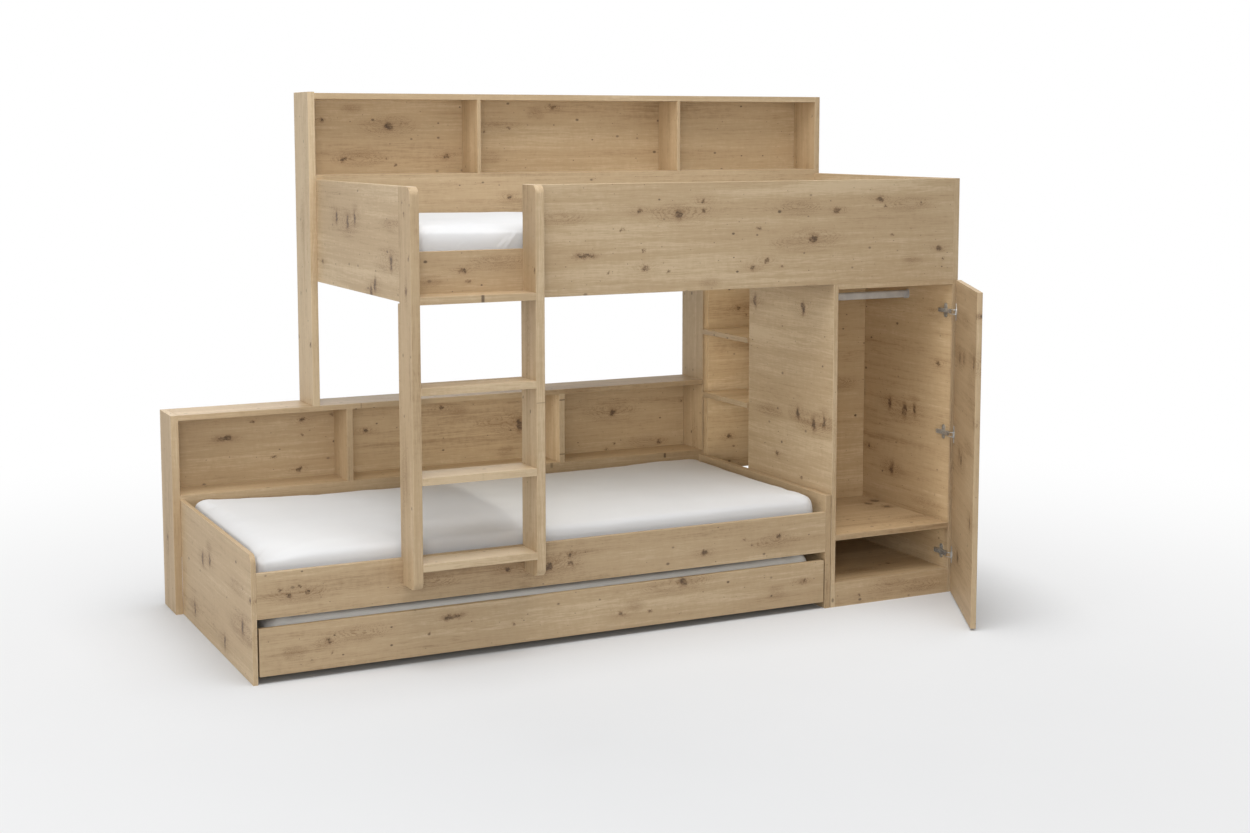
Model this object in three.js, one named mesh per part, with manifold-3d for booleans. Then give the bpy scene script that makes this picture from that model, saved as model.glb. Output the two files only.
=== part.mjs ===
import * as THREE from "three";
import { mergeVertices } from "three/addons/utils/BufferGeometryUtils.js";
import Module from "manifold-3d";

// Bunk bed with a wardrobe under its right end, a shelf behind each bed and a trundle under the lower one.
// Millimetres, +X along the beds, +Y towards the wall, +Z up. While the pieces are laid out, X is 0 at the
// outer face of the lower bed's left side, Y is 0 at the front faces and Z is 0 on the floor. The group is
// moved at the end, so that the origin lies under the middle of the whole object as it stands.

// Boards
const THIN_SIDE = 16;
const BOARD = 18;
const THICK = 22;
const SHELF_END = 26;
const POST = 25;
const REAR_POST = 24;
const BACK_PANEL = 13;
const ARRIS = 1;
const CORNER_RADIUS = 28;

// Facets round a quarter or half of an outline, a rod, a hinge cup or wheel, a screw and an axle
const CURVE_FACETS = 6;
const ROD_FACETS = 24;
const ROUND_FACETS = 32;
const SCREW_FACETS = 12;
const AXLE_FACETS = 16;

// Lower bed
const LOWER_INNER_LENGTH = 2010;
const SIDE_DEPTH = 915;
const LOWER_SIDE_HEIGHT = 400;
const LOWER_RAIL_BOTTOM = 201;
const LOWER_RAIL_HEIGHT = 140;

// Shelf behind the lower bed
const SHELF_DEPTH = 168;
const LOWER_SHELF_BOTTOM = 397;
const LOWER_SHELF_HEIGHT = 296;
const LOWER_DIVIDER = 22;
const LOWER_DIVIDER_LEFTS = [598, 1429];
const LOWER_SHELF_LENGTH = 2042;
const SHELF_PAST_BED = 16;

// Upper bed
const UPPER_LEFT = 501;
const UPPER_BOTTOM = 1133;
const GUARD_HEIGHT = 357;
const ENTRY_RAIL_HEIGHT = 157;

// Shelf behind the upper bed
const UPPER_SHELF_TOP = 1790;
const UPPER_SHELF_TOP_BOARD = 20;
const UPPER_SHELF_BOTTOM_BOARD = 16;
const UPPER_SHELF_END_SETBACK = 3;
const UPPER_DIVIDER = 13;
const UPPER_DIVIDER_LEFTS = [1108, 1927];
const LEFT_POST_ABOVE_SHELF = 4;

// Ladder
const UPRIGHT = 29;
const UPRIGHT_DEPTH = 119;
const UPRIGHT_NOTCH = 15;
const UPRIGHT_BOTTOM = 258;
const UPRIGHT_TOP = 1492;
const LEFT_UPRIGHT_LEFT = 479;
const LADDER_INNER_WIDTH = 381;
const TREAD = 23;
const TREAD_TOPS = [339, 607, 883, 1159];

// Wardrobe and the niche behind it
const WARDROBE_WIDTH = 520;
const WARDROBE_BED_GAP = 2;
const WARDROBE_DEPTH = 573;
const WARDROBE_BACK_SETBACK = 8;
const PLINTH_HEIGHT = 86;
const WARDROBE_SHELF_TOP = 255;
const NICHE_SHELF_TOPS = [645, 890];
const NICHE_BACK_BOTTOM = 335;
const PEG_HOLE = 5;
const PEG_HOLE_DEPTH = 10;
const PEG_HOLE_SETBACK = 59;
const PEG_HOLE_HEIGHTS = [206, 268];
const BACK_HOLE = 10;
const BACK_HOLE_DEPTH = 12;
const BACK_HOLE_FROM_SIDE = 39;
const BACK_HOLE_HEIGHT = 571;

// Clothes rail
const RAIL_HEIGHT = 28;
const RAIL_DEPTH = 15;
const RAIL_WALL = 1.5;
const RAIL_CENTRE_Z = 1061;
const RAIL_CENTRE_Y = 272;
const RAIL_BRACKET = 3;
const RAIL_SADDLE = 12;
const RAIL_END_GAP = 1;

// Door and its concealed hinges
const DOOR_ANGLE = 61;
const DOOR_GAP = 3;
const DOOR_SIDE_REVEAL = 3;
const DOOR_BOTTOM = 7;
const DOOR_TOP_GAP = 2;
const DOOR_AXIS_INSIDE_EDGE = 2;
const DOOR_AXIS_FROM_FACE = 5;
const HINGE_HEIGHTS = [145, 581, 1020];
const CUP_BORE = 35;
const CUP_DEPTH = 14;
const CUP_WALL = 1;
const CUP_SETBACK = 28;
const FLANGE = 1.5;
const FLANGE_HEIGHT = 60;
const FLANGE_WIDTH = 16;
const CHEEK = 2;
const CHEEK_SIDE_GAP = 0.3;
const LINK_RADIUS = 37.4;
const LINK_THICKNESS = 2;
const LINK_PANEL_CLEARANCE = 0.7;
const LINK_END_CLEARANCE = 0.4;
const PLATE = 3;
const PLATE_WING_HEIGHT = 52;
const PLATE_WING_WIDTH = 17;
const PLATE_SCREW_SETBACK = 37;
const ARM_HEIGHT = 13;
const ARM_THICKNESS = 14;
const ARM_FRONT = 2;
const ARM_BACK = 72;
const SCREW_HEAD = 8;
const SCREW_HEAD_HEIGHT = 1.5;
const ARM_SCREW = 6;
const ARM_SCREW_PLACES = [0.35, 0.75];

// Slatted bases
const LEDGE_WIDTH = 22;
const LEDGE_HEIGHT = 22;
const LEDGE_END_CLEARANCE = 5;
const LOWER_LEDGE_ABOVE_RAIL_BOTTOM = 3;
const UPPER_LEDGE_ABOVE_RAIL_BOTTOM = 46;
const SLAT = 16;
const SLAT_WIDTH = 68;
const SLAT_COUNT = 14;
const SLAT_CLEARANCE = 2;
const BAND = 2;
const BAND_WIDTH = 30;
const BAND_LEDGE_GAP = 6;

// Mattresses
const MATTRESS_LENGTH = 2003;
const LOWER_MATTRESS_HEIGHT = 165;
const UPPER_MATTRESS_HEIGHT = 155;
const TRUNDLE_MATTRESS_HEIGHT = 112;
const MATTRESS_CROWN = 14;
const TRUNDLE_MATTRESS_CROWN = 5;
const MATTRESS_CLEARANCE = 3.5;
const MATTRESS_CORNER = 42;
const MATTRESS_TIGHTEST_CORNER = 18;
const MATTRESS_SEAM = 26;
const MATTRESS_TOP_SEAM = 24;

// Where a mattress is measured: up its sides, in from its edge to the middle, round a corner and along a side.
// The fullness is the power of the curve between the seams, and a higher one gives a flatter side.
const MATTRESS_RISES = [0.02, 0.09, 0.22, 0.5, 0.78, 0.91, 0.97];
const MATTRESS_REACHES = [0.12, 0.25, 0.45, 0.7];
const MATTRESS_CORNER_STEPS = 5;
const MATTRESS_SIDE_STEPS = 6;
const MATTRESS_FULLNESS = 6;

// Trundle and its castors
const TRUNDLE_SIDE_GAP = 5;
const TRUNDLE_FRONT_BOTTOM = 24;
const TRUNDLE_FRONT_HEIGHT = 147;
const TRUNDLE_BACK_GAP = 3;
const TRUNDLE_SIDE_BOTTOM = 34;
const TRUNDLE_SIDE_HEIGHT = 100;
const TRUNDLE_LEDGE_WIDTH = 110;
const TRUNDLE_LEDGE_HEIGHT = 18;
const TRUNDLE_LEDGE_BOTTOM = 48;
const WHEEL_RADIUS = 20;
const WHEEL_WIDTH = 16;
const WHEEL_RIM = 1.5;
const WHEEL_INSET = 120;
const WHEEL_FROM_RAIL = 87;
const AXLE = 6;
const AXLE_CLEARANCE = 0.1;
const FORK_WALL = 2.5;
const FORK_CLEARANCE = 1;
const FORK_WIDTH = 24;
const FORK_BELOW_AXLE = 6;
const FORK_PLATE = 3;
const FORK_PLATE_WIDTH = 40;

// Gap left between pieces that touch inside a turned group, and how far a cutter runs past what it cuts
const SEAT = 0.3;
const OVERRUN = 1;

// Places worked out from the sizes above
const lowerInnerLeft = THIN_SIDE;
const lowerInnerRight = lowerInnerLeft + LOWER_INNER_LENGTH;
const lowerRight = lowerInnerRight + THICK;
const lowerRailTop = LOWER_RAIL_BOTTOM + LOWER_RAIL_HEIGHT;
const lowerLedgeBottom = LOWER_RAIL_BOTTOM + LOWER_LEDGE_ABOVE_RAIL_BOTTOM;
const upperLedgeBottom = UPPER_BOTTOM + UPPER_LEDGE_ABOVE_RAIL_BOTTOM;
const shelfFront = SIDE_DEPTH;
const shelfBack = shelfFront + SHELF_DEPTH;
const panelFront = shelfBack - BACK_PANEL;
const lowerShelfTop = LOWER_SHELF_BOTTOM + LOWER_SHELF_HEIGHT;
const wardrobeLeft = lowerRight + WARDROBE_BED_GAP;
const wardrobeInnerLeft = wardrobeLeft + BOARD;
const wardrobeRight = wardrobeLeft + WARDROBE_WIDTH;
const wardrobeInnerRight = wardrobeRight - THICK;
const wardrobeBackFront = WARDROBE_DEPTH - WARDROBE_BACK_SETBACK - BOARD;
const wardrobeTopUnderside = UPPER_BOTTOM - BOARD;
const rearPostRight = LOWER_SHELF_LENGTH + REAR_POST;
const upperRight = wardrobeRight;
const upperInnerLeft = UPPER_LEFT + THICK;
const upperInnerRight = upperRight - THICK;
const upperTop = UPPER_BOTTOM + GUARD_HEIGHT;
const entryTop = UPPER_BOTTOM + ENTRY_RAIL_HEIGHT;
const upperShelfRight = upperRight - UPPER_SHELF_END_SETBACK;
const upperShelfInnerRight = upperShelfRight - THICK;
const leftPostLeft = UPPER_LEFT - POST;
const rightUprightLeft = LEFT_UPRIGHT_LEFT + UPRIGHT + LADDER_INNER_WIDTH;
const uprightFront = UPRIGHT_NOTCH - UPRIGHT_DEPTH;
const doorLeft = wardrobeLeft + DOOR_SIDE_REVEAL;
const doorRight = wardrobeRight - DOOR_SIDE_REVEAL;
const doorTop = UPPER_BOTTOM - DOOR_TOP_GAP;
const doorAxisX = doorRight - DOOR_AXIS_INSIDE_EDGE;
const doorAxisY = -DOOR_GAP - BOARD + DOOR_AXIS_FROM_FACE;
const cupX = doorRight - CUP_SETBACK;
const trundleLeft = lowerInnerLeft + TRUNDLE_SIDE_GAP;
const trundleRight = lowerInnerRight - TRUNDLE_SIDE_GAP;
const trundleBack = shelfFront - TRUNDLE_BACK_GAP;
const trundleInnerX = [trundleLeft + THIN_SIDE, trundleRight - THIN_SIDE];
const trundleInnerY = [BOARD, trundleBack - BOARD];
const wheelXs = [trundleLeft + WHEEL_INSET, trundleRight - WHEEL_INSET];

// Colours read off the photograph
const oakMaterial = () =>
  new THREE.MeshStandardMaterial({ color: 0xb29871, roughness: 0.6, metalness: 0 });
const birchMaterial = () =>
  new THREE.MeshStandardMaterial({ color: 0xd8c29a, roughness: 0.6, metalness: 0 });
const sheetMaterial = () =>
  new THREE.MeshStandardMaterial({ color: 0xeeeef0, roughness: 0.9, metalness: 0 });
const steelMaterial = () =>
  new THREE.MeshStandardMaterial({ color: 0x9a9a94, roughness: 0.35, metalness: 0.9 });
const aluminiumMaterial = () =>
  new THREE.MeshStandardMaterial({ color: 0x9b9da1, roughness: 0.4, metalness: 0.8 });
const wheelMaterial = () =>
  new THREE.MeshStandardMaterial({ color: 0x3a3a3c, roughness: 0.6, metalness: 0 });

const wasm = await Module();
wasm.setup();

const root = new THREE.Group();
const door = new THREE.Group();
root.add(door);

function add(name, geometry, material, group = root) {
  const mesh = new THREE.Mesh(geometry, material);
  mesh.name = name;
  group.add(mesh);
  return mesh;
}

// Joining and cutting
function toSolid(geometry) {
  const bare = geometry.clone();
  bare.deleteAttribute("normal");
  bare.deleteAttribute("uv");
  const merged = mergeVertices(bare, 1e-4);
  return new wasm.Manifold(
    new wasm.Mesh({
      numProp: 3,
      vertProperties: merged.attributes.position.array,
      triVerts: new Uint32Array(merged.index.array),
    }),
  );
}

function toGeometry(solid) {
  const mesh = solid.getMesh();
  const geometry = new THREE.BufferGeometry();
  geometry.setAttribute("position", new THREE.BufferAttribute(mesh.vertProperties, mesh.numProp));
  geometry.setIndex(new THREE.BufferAttribute(mesh.triVerts, 1));
  const faceted = geometry.toNonIndexed();
  faceted.computeVertexNormals();
  return faceted;
}

function join(parts) {
  const solids = parts.map(toSolid);
  return toGeometry(solids.reduce((sum, next) => sum.add(next)));
}

function cut(body, tools) {
  const solids = tools.map(toSolid);
  return toGeometry(solids.reduce((rest, tool) => rest.subtract(tool), toSolid(body)));
}

// Outline axes and extrusion direction for a board whose thickness runs along X, Y or Z
const planes = {
  x: new THREE.Matrix4().set(0, 0, 1, 0, 1, 0, 0, 0, 0, 1, 0, 0, 0, 0, 0, 1),
  y: new THREE.Matrix4().set(1, 0, 0, 0, 0, 0, -1, 0, 0, 1, 0, 0, 0, 0, 0, 1),
  z: new THREE.Matrix4(),
};

// A board with its outline in the plane square to the axis, from start to start + thickness along it
function plank(outline, axis, start, thickness, arris = ARRIS) {
  const geometry = new THREE.ExtrudeGeometry(outline, {
    depth: thickness - 2 * arris,
    bevelEnabled: arris > 0,
    bevelThickness: arris,
    bevelSize: arris,
    bevelOffset: -arris,
    bevelSegments: 1,
    curveSegments: CURVE_FACETS,
  });
  geometry.translate(0, 0, axis === "y" ? -start - thickness + arris : start + arris);
  geometry.applyMatrix4(planes[axis]);
  return geometry;
}

function rectangle(left, right, bottom, top) {
  const outline = new THREE.Shape();
  outline.moveTo(left, bottom);
  outline.lineTo(right, bottom);
  outline.lineTo(right, top);
  outline.lineTo(left, top);
  outline.closePath();
  return outline;
}

function box(x, y, z, arris = ARRIS) {
  return plank(rectangle(y[0], y[1], z[0], z[1]), "x", x[0], x[1] - x[0], arris);
}

function oakBoard(name, x, y, z) {
  return add(name, box(x, y, z), oakMaterial());
}

// A rod or a bore along one axis, centred on the two other coordinates
function rod(axis, radius, from, to, centre, sides = ROD_FACETS) {
  const geometry = new THREE.CylinderGeometry(radius, radius, to - from, sides);
  const middle = (from + to) / 2;
  if (axis === "x") {
    geometry.rotateZ(Math.PI / 2);
    geometry.translate(middle, centre[0], centre[1]);
  }
  if (axis === "y") {
    geometry.translate(centre[0], middle, centre[1]);
  }
  if (axis === "z") {
    geometry.rotateX(Math.PI / 2);
    geometry.translate(centre[0], centre[1], middle);
  }
  return geometry;
}

// The ledge that the slats lie on, along a rail's inner face and clear of the boards at both ends
function ledge(innerX, face, inward, bottom, width = LEDGE_WIDTH, height = LEDGE_HEIGHT) {
  const x = [innerX[0] + LEDGE_END_CLEARANCE, innerX[1] - LEDGE_END_CLEARANCE];
  const y = inward > 0 ? [face, face + width] : [face - width, face];
  return box(x, y, [bottom, bottom + height], 0);
}

// Lower bed. Only its free end has a rounded corner at the front.
function leftSide() {
  const outline = new THREE.Shape();
  outline.moveTo(0, 0);
  outline.lineTo(SIDE_DEPTH, 0);
  outline.lineTo(SIDE_DEPTH, LOWER_SIDE_HEIGHT);
  outline.lineTo(CORNER_RADIUS, LOWER_SIDE_HEIGHT);
  outline.absarc(
    CORNER_RADIUS, LOWER_SIDE_HEIGHT - CORNER_RADIUS, CORNER_RADIUS, Math.PI / 2, Math.PI, false,
  );
  outline.closePath();
  add("lower_left_side", plank(outline, "x", 0, THIN_SIDE), oakMaterial());
}

function lowerBed() {
  const innerX = [lowerInnerLeft, lowerInnerRight];
  leftSide();
  oakBoard(
    "lower_right_side",
    [lowerInnerRight, lowerRight],
    [0, SIDE_DEPTH],
    [0, LOWER_SIDE_HEIGHT],
  );
  const front = box(innerX, [0, BOARD], [LOWER_RAIL_BOTTOM, lowerRailTop]);
  const frontLedge = ledge(innerX, BOARD, 1, lowerLedgeBottom);
  add("lower_front_rail", join([front, frontLedge]), oakMaterial());
  const rear = box(
    [0, LOWER_SHELF_LENGTH],
    [shelfFront, shelfFront + BOARD],
    [LOWER_RAIL_BOTTOM, LOWER_SHELF_BOTTOM],
  );
  const rearLedgeX = [lowerInnerLeft, LOWER_SHELF_LENGTH - SHELF_PAST_BED];
  const rearLedge = ledge(rearLedgeX, shelfFront, -1, lowerLedgeBottom);
  add("lower_rear_rail", join([rear, rearLedge]), oakMaterial());
}

// Shelf behind the lower bed, with the two posts
function lowerShelf() {
  const x = [0, LOWER_SHELF_LENGTH];
  const y = [shelfFront, shelfBack];
  const innerY = [shelfFront, panelFront];
  const innerZ = [LOWER_SHELF_BOTTOM + BOARD, lowerShelfTop - BOARD];
  oakBoard("lower_shelf_end", [-SHELF_END, 0], y, [0, lowerShelfTop]);
  oakBoard("lower_shelf_bottom", x, y, [LOWER_SHELF_BOTTOM, innerZ[0]]);
  oakBoard("lower_shelf_top", x, y, [innerZ[1], lowerShelfTop]);
  oakBoard("lower_shelf_back", x, [panelFront, shelfBack], innerZ);
  LOWER_DIVIDER_LEFTS.forEach((left, i) => {
    oakBoard("lower_shelf_divider_" + (i + 1), [left, left + LOWER_DIVIDER], innerY, innerZ);
  });
  oakBoard("rear_post", [LOWER_SHELF_LENGTH, rearPostRight], y, [0, UPPER_BOTTOM]);
  oakBoard(
    "left_post",
    [leftPostLeft, UPPER_LEFT],
    y,
    [lowerShelfTop, UPPER_SHELF_TOP + LEFT_POST_ABOVE_SHELF],
  );
}

// Shelf behind the upper bed
function upperShelf() {
  const x = [UPPER_LEFT, upperShelfInnerRight];
  const y = [shelfFront, shelfBack];
  const innerY = [shelfFront, panelFront];
  const innerZ = [upperTop + UPPER_SHELF_BOTTOM_BOARD, UPPER_SHELF_TOP - UPPER_SHELF_TOP_BOARD];
  oakBoard("upper_shelf_bottom", x, y, [upperTop, innerZ[0]]);
  oakBoard("upper_shelf_top", x, y, [innerZ[1], UPPER_SHELF_TOP]);
  oakBoard("upper_shelf_back", x, [panelFront, shelfBack], innerZ);
  UPPER_DIVIDER_LEFTS.forEach((left, i) => {
    oakBoard("upper_shelf_divider_" + (i + 1), [left, left + UPPER_DIVIDER], innerY, innerZ);
  });
  oakBoard("upper_shelf_end", [upperShelfInnerRight, upperShelfRight], y, [UPPER_BOTTOM, UPPER_SHELF_TOP]);
}

// Upper bed. The front board is one piece, cut down to the entry rail between the ladder's uprights.
function frontBoard(innerX) {
  const cutEnd = rightUprightLeft + Math.round(UPRIGHT / 2);
  const outline = new THREE.Shape();
  outline.moveTo(upperInnerLeft, UPPER_BOTTOM);
  outline.lineTo(upperInnerRight, UPPER_BOTTOM);
  outline.lineTo(upperInnerRight, upperTop);
  outline.lineTo(cutEnd, upperTop);
  outline.lineTo(cutEnd, entryTop);
  outline.lineTo(upperInnerLeft, entryTop);
  outline.closePath();
  const board = plank(outline, "y", 0, BOARD);
  add("upper_front_board", join([board, ledge(innerX, BOARD, 1, upperLedgeBottom)]), oakMaterial());
}

function upperBed() {
  const innerX = [upperInnerLeft, upperInnerRight];
  const z = [UPPER_BOTTOM, upperTop];
  oakBoard("upper_left_end", [UPPER_LEFT, upperInnerLeft], [0, SIDE_DEPTH], z);
  oakBoard("upper_right_end", [upperInnerRight, upperRight], [0, SIDE_DEPTH], z);
  const rear = box([UPPER_LEFT, upperShelfInnerRight], [shelfFront, shelfFront + BOARD], z);
  const rearLedge = ledge(innerX, shelfFront, -1, upperLedgeBottom);
  add("upper_rear_rail", join([rear, rearLedge]), oakMaterial());
  frontBoard(innerX);
}

// Ladder. Each upright is notched at the back, so that it stands on the lower rail's top edge and lies
// against the front faces of both rails.
function upright(name, left) {
  const arc = CORNER_RADIUS;
  const outline = new THREE.Shape();
  outline.moveTo(uprightFront + arc, UPRIGHT_BOTTOM);
  outline.lineTo(0, UPRIGHT_BOTTOM);
  outline.lineTo(0, lowerRailTop);
  outline.lineTo(UPRIGHT_NOTCH, lowerRailTop);
  outline.lineTo(UPRIGHT_NOTCH, UPPER_BOTTOM);
  outline.lineTo(0, UPPER_BOTTOM);
  outline.lineTo(0, UPRIGHT_TOP);
  outline.lineTo(uprightFront + arc, UPRIGHT_TOP);
  outline.absarc(uprightFront + arc, UPRIGHT_TOP - arc, arc, Math.PI / 2, Math.PI, false);
  outline.lineTo(uprightFront, UPRIGHT_BOTTOM + arc);
  outline.absarc(uprightFront + arc, UPRIGHT_BOTTOM + arc, arc, Math.PI, 1.5 * Math.PI, false);
  add(name, plank(outline, "x", left, UPRIGHT), oakMaterial());
}

function ladder() {
  upright("ladder_left_upright", LEFT_UPRIGHT_LEFT);
  upright("ladder_right_upright", rightUprightLeft);
  TREAD_TOPS.forEach((top, i) => {
    const meetsRail = top - TREAD < lowerRailTop || top > UPPER_BOTTOM;
    oakBoard(
      "ladder_tread_" + (i + 1),
      [LEFT_UPRIGHT_LEFT + UPRIGHT, rightUprightLeft],
      [uprightFront, meetsRail ? 0 : UPRIGHT_NOTCH],
      [top - TREAD, top],
    );
  });
}

// Wardrobe, whose top and right side run on over the niche behind it
function wardrobeSide(name, x, depth, inward) {
  const face = inward > 0 ? x[1] : x[0];
  const bores = PEG_HOLE_HEIGHTS.map((height) =>
    rod(
      "x",
      PEG_HOLE / 2,
      inward > 0 ? face - PEG_HOLE_DEPTH : face - OVERRUN,
      inward > 0 ? face + OVERRUN : face + PEG_HOLE_DEPTH,
      [PEG_HOLE_SETBACK, height],
      SCREW_FACETS,
    ),
  );
  add(name, cut(box(x, [0, depth], [0, UPPER_BOTTOM]), bores), oakMaterial());
}

function wardrobeTop() {
  const outline = new THREE.Shape();
  outline.moveTo(wardrobeInnerLeft, 0);
  outline.lineTo(wardrobeInnerRight, 0);
  outline.lineTo(wardrobeInnerRight, shelfFront);
  outline.lineTo(wardrobeLeft, shelfFront);
  outline.lineTo(wardrobeLeft, WARDROBE_DEPTH);
  outline.lineTo(wardrobeInnerLeft, WARDROBE_DEPTH);
  outline.closePath();
  add("wardrobe_top", plank(outline, "z", wardrobeTopUnderside, BOARD), oakMaterial());
}

function wardrobe() {
  const x = [wardrobeInnerLeft, wardrobeInnerRight];
  const backY = [wardrobeBackFront, wardrobeBackFront + BOARD];
  wardrobeSide("wardrobe_left_side", [wardrobeLeft, wardrobeInnerLeft], WARDROBE_DEPTH, 1);
  wardrobeSide("wardrobe_right_side", [wardrobeInnerRight, wardrobeRight], SIDE_DEPTH, -1);
  wardrobeTop();
  const hole = rod(
    "y",
    BACK_HOLE / 2,
    wardrobeBackFront - OVERRUN,
    wardrobeBackFront + BACK_HOLE_DEPTH,
    [wardrobeInnerRight - BACK_HOLE_FROM_SIDE, BACK_HOLE_HEIGHT],
    SCREW_FACETS,
  );
  add("wardrobe_back", cut(box(x, backY, [0, wardrobeTopUnderside]), [hole]), oakMaterial());
  oakBoard("wardrobe_plinth", x, [0, BOARD], [0, PLINTH_HEIGHT]);
  oakBoard("wardrobe_bottom", x, [BOARD, wardrobeBackFront], [PLINTH_HEIGHT - BOARD, PLINTH_HEIGHT]);
  oakBoard("wardrobe_shelf", x, [0, wardrobeBackFront], [WARDROBE_SHELF_TOP - BOARD, WARDROBE_SHELF_TOP]);
}

function niche() {
  oakBoard(
    "niche_back",
    [rearPostRight, wardrobeRight],
    [shelfFront, shelfFront + BOARD],
    [NICHE_BACK_BOTTOM, UPPER_BOTTOM],
  );
  NICHE_SHELF_TOPS.forEach((top, i) => {
    oakBoard(
      "niche_shelf_" + (i + 1),
      [LOWER_SHELF_LENGTH, wardrobeInnerRight],
      [WARDROBE_DEPTH, shelfFront],
      [top - BOARD, top],
    );
  });
}

// A stadium outline in the plane of Y and Z, grown by a margin
function ovalOutline(margin) {
  const radius = RAIL_DEPTH / 2 + margin;
  const rise = (RAIL_HEIGHT - RAIL_DEPTH) / 2;
  const outline = new THREE.Shape();
  outline.absarc(RAIL_CENTRE_Y, RAIL_CENTRE_Z + rise, radius, 0, Math.PI, false);
  outline.absarc(RAIL_CENTRE_Y, RAIL_CENTRE_Z - rise, radius, Math.PI, 2 * Math.PI, false);
  outline.closePath();
  return outline;
}

// The clothes rail is an oval tube that lies in two saddles, open at the top, one on each side panel
function clothesRail() {
  const tubeOutline = ovalOutline(0);
  tubeOutline.holes.push(ovalOutline(-RAIL_WALL));
  const ends = [wardrobeInnerLeft, wardrobeInnerRight];
  const tubeFrom = ends[0] + RAIL_BRACKET + RAIL_END_GAP;
  const tubeTo = ends[1] - RAIL_BRACKET - RAIL_END_GAP;
  const parts = [plank(tubeOutline, "x", tubeFrom, tubeTo - tubeFrom, 0)];
  const saddleOutline = ovalOutline(RAIL_BRACKET);
  saddleOutline.holes.push(ovalOutline(0));
  const openY = [RAIL_CENTRE_Y - RAIL_DEPTH, RAIL_CENTRE_Y + RAIL_DEPTH];
  const openZ = [RAIL_CENTRE_Z, RAIL_CENTRE_Z + RAIL_HEIGHT];
  [ends[0], ends[1] - RAIL_BRACKET].forEach((plateLeft, i) => {
    const saddleLeft = i === 0 ? plateLeft + RAIL_BRACKET : plateLeft - RAIL_SADDLE;
    const saddle = plank(saddleOutline, "x", saddleLeft, RAIL_SADDLE, 0);
    const opening = box([saddleLeft - OVERRUN, saddleLeft + RAIL_SADDLE + OVERRUN], openY, openZ, 0);
    parts.push(plank(ovalOutline(RAIL_BRACKET), "x", plateLeft, RAIL_BRACKET, 0));
    parts.push(cut(saddle, [opening]));
  });
  add("clothes_rail", join(parts), aluminiumMaterial());
}

// Door and concealed hinges. The door's pieces are laid out shut and turned about the hinge axis.
function addToDoor(name, geometry, material) {
  geometry.translate(-doorAxisX, -doorAxisY, 0);
  add(name, geometry, material, door);
}

function doorPanel() {
  const panel = box([doorLeft, doorRight], [-DOOR_GAP - BOARD, -DOOR_GAP], [DOOR_BOTTOM, doorTop]);
  const bores = HINGE_HEIGHTS.map((height) =>
    rod("y", CUP_BORE / 2, -DOOR_GAP - CUP_DEPTH - SEAT, 0, [cupX, height], ROUND_FACETS),
  );
  addToDoor("wardrobe_door", cut(panel, bores), oakMaterial());
}

// The arm's nose and the cup's two cheeks are curved about the door's axis, so that they run past each other
// as the door turns. Angles are counted about that axis from +X.
function linkOutline(from, to) {
  const outline = new THREE.Shape();
  outline.absarc(doorAxisX, doorAxisY, LINK_RADIUS + LINK_THICKNESS, from, to, false);
  outline.absarc(doorAxisX, doorAxisY, LINK_RADIUS, to, from, true);
  outline.closePath();
  return outline;
}

function linkAngleAtDepth(y) {
  return Math.PI + Math.asin((doorAxisY - y) / (LINK_RADIUS + LINK_THICKNESS));
}

// A cup with its flange on the door's face and the two cheeks that reach past the arm's nose
function hingeCup(name, height) {
  const face = -DOOR_GAP + SEAT;
  const bottom = -DOOR_GAP - CUP_DEPTH;
  const radius = CUP_BORE / 2 - SEAT;
  const shell = rod("y", radius, bottom, face + FLANGE, [cupX, height], ROUND_FACETS);
  const flange = box(
    [cupX - FLANGE_WIDTH / 2, cupX + FLANGE_WIDTH / 2],
    [face, face + FLANGE],
    [height - FLANGE_HEIGHT / 2, height + FLANGE_HEIGHT / 2],
    0,
  );
  const mouth = face + FLANGE + OVERRUN;
  const hollow = rod("y", radius - CUP_WALL, bottom + CUP_WALL, mouth, [cupX, height], ROUND_FACETS);
  const parts = [cut(join([shell, flange]), [hollow])];
  const panelReach = doorAxisX - wardrobeInnerRight + LINK_PANEL_CLEARANCE;
  const cheekStart = Math.PI - Math.acos(panelReach / LINK_RADIUS);
  const cheekEnd = linkAngleAtDepth(bottom + CUP_WALL / 2);
  [-1, 1].forEach((side) => {
    const near = height + side * (ARM_HEIGHT / 2 + CHEEK_SIDE_GAP);
    const lowest = Math.min(near, near + side * CHEEK);
    parts.push(plank(linkOutline(cheekStart, cheekEnd), "z", lowest, CHEEK, 0));
  });
  [-1, 1].forEach((side) => {
    const screw = height + side * (FLANGE_HEIGHT / 2 - SCREW_HEAD / 2 - FLANGE);
    parts.push(rod("y", SCREW_HEAD / 2, face + FLANGE / 2, face + FLANGE + SEAT, [cupX, screw], SCREW_FACETS));
  });
  addToDoor(name, join(parts), steelMaterial());
}

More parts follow.
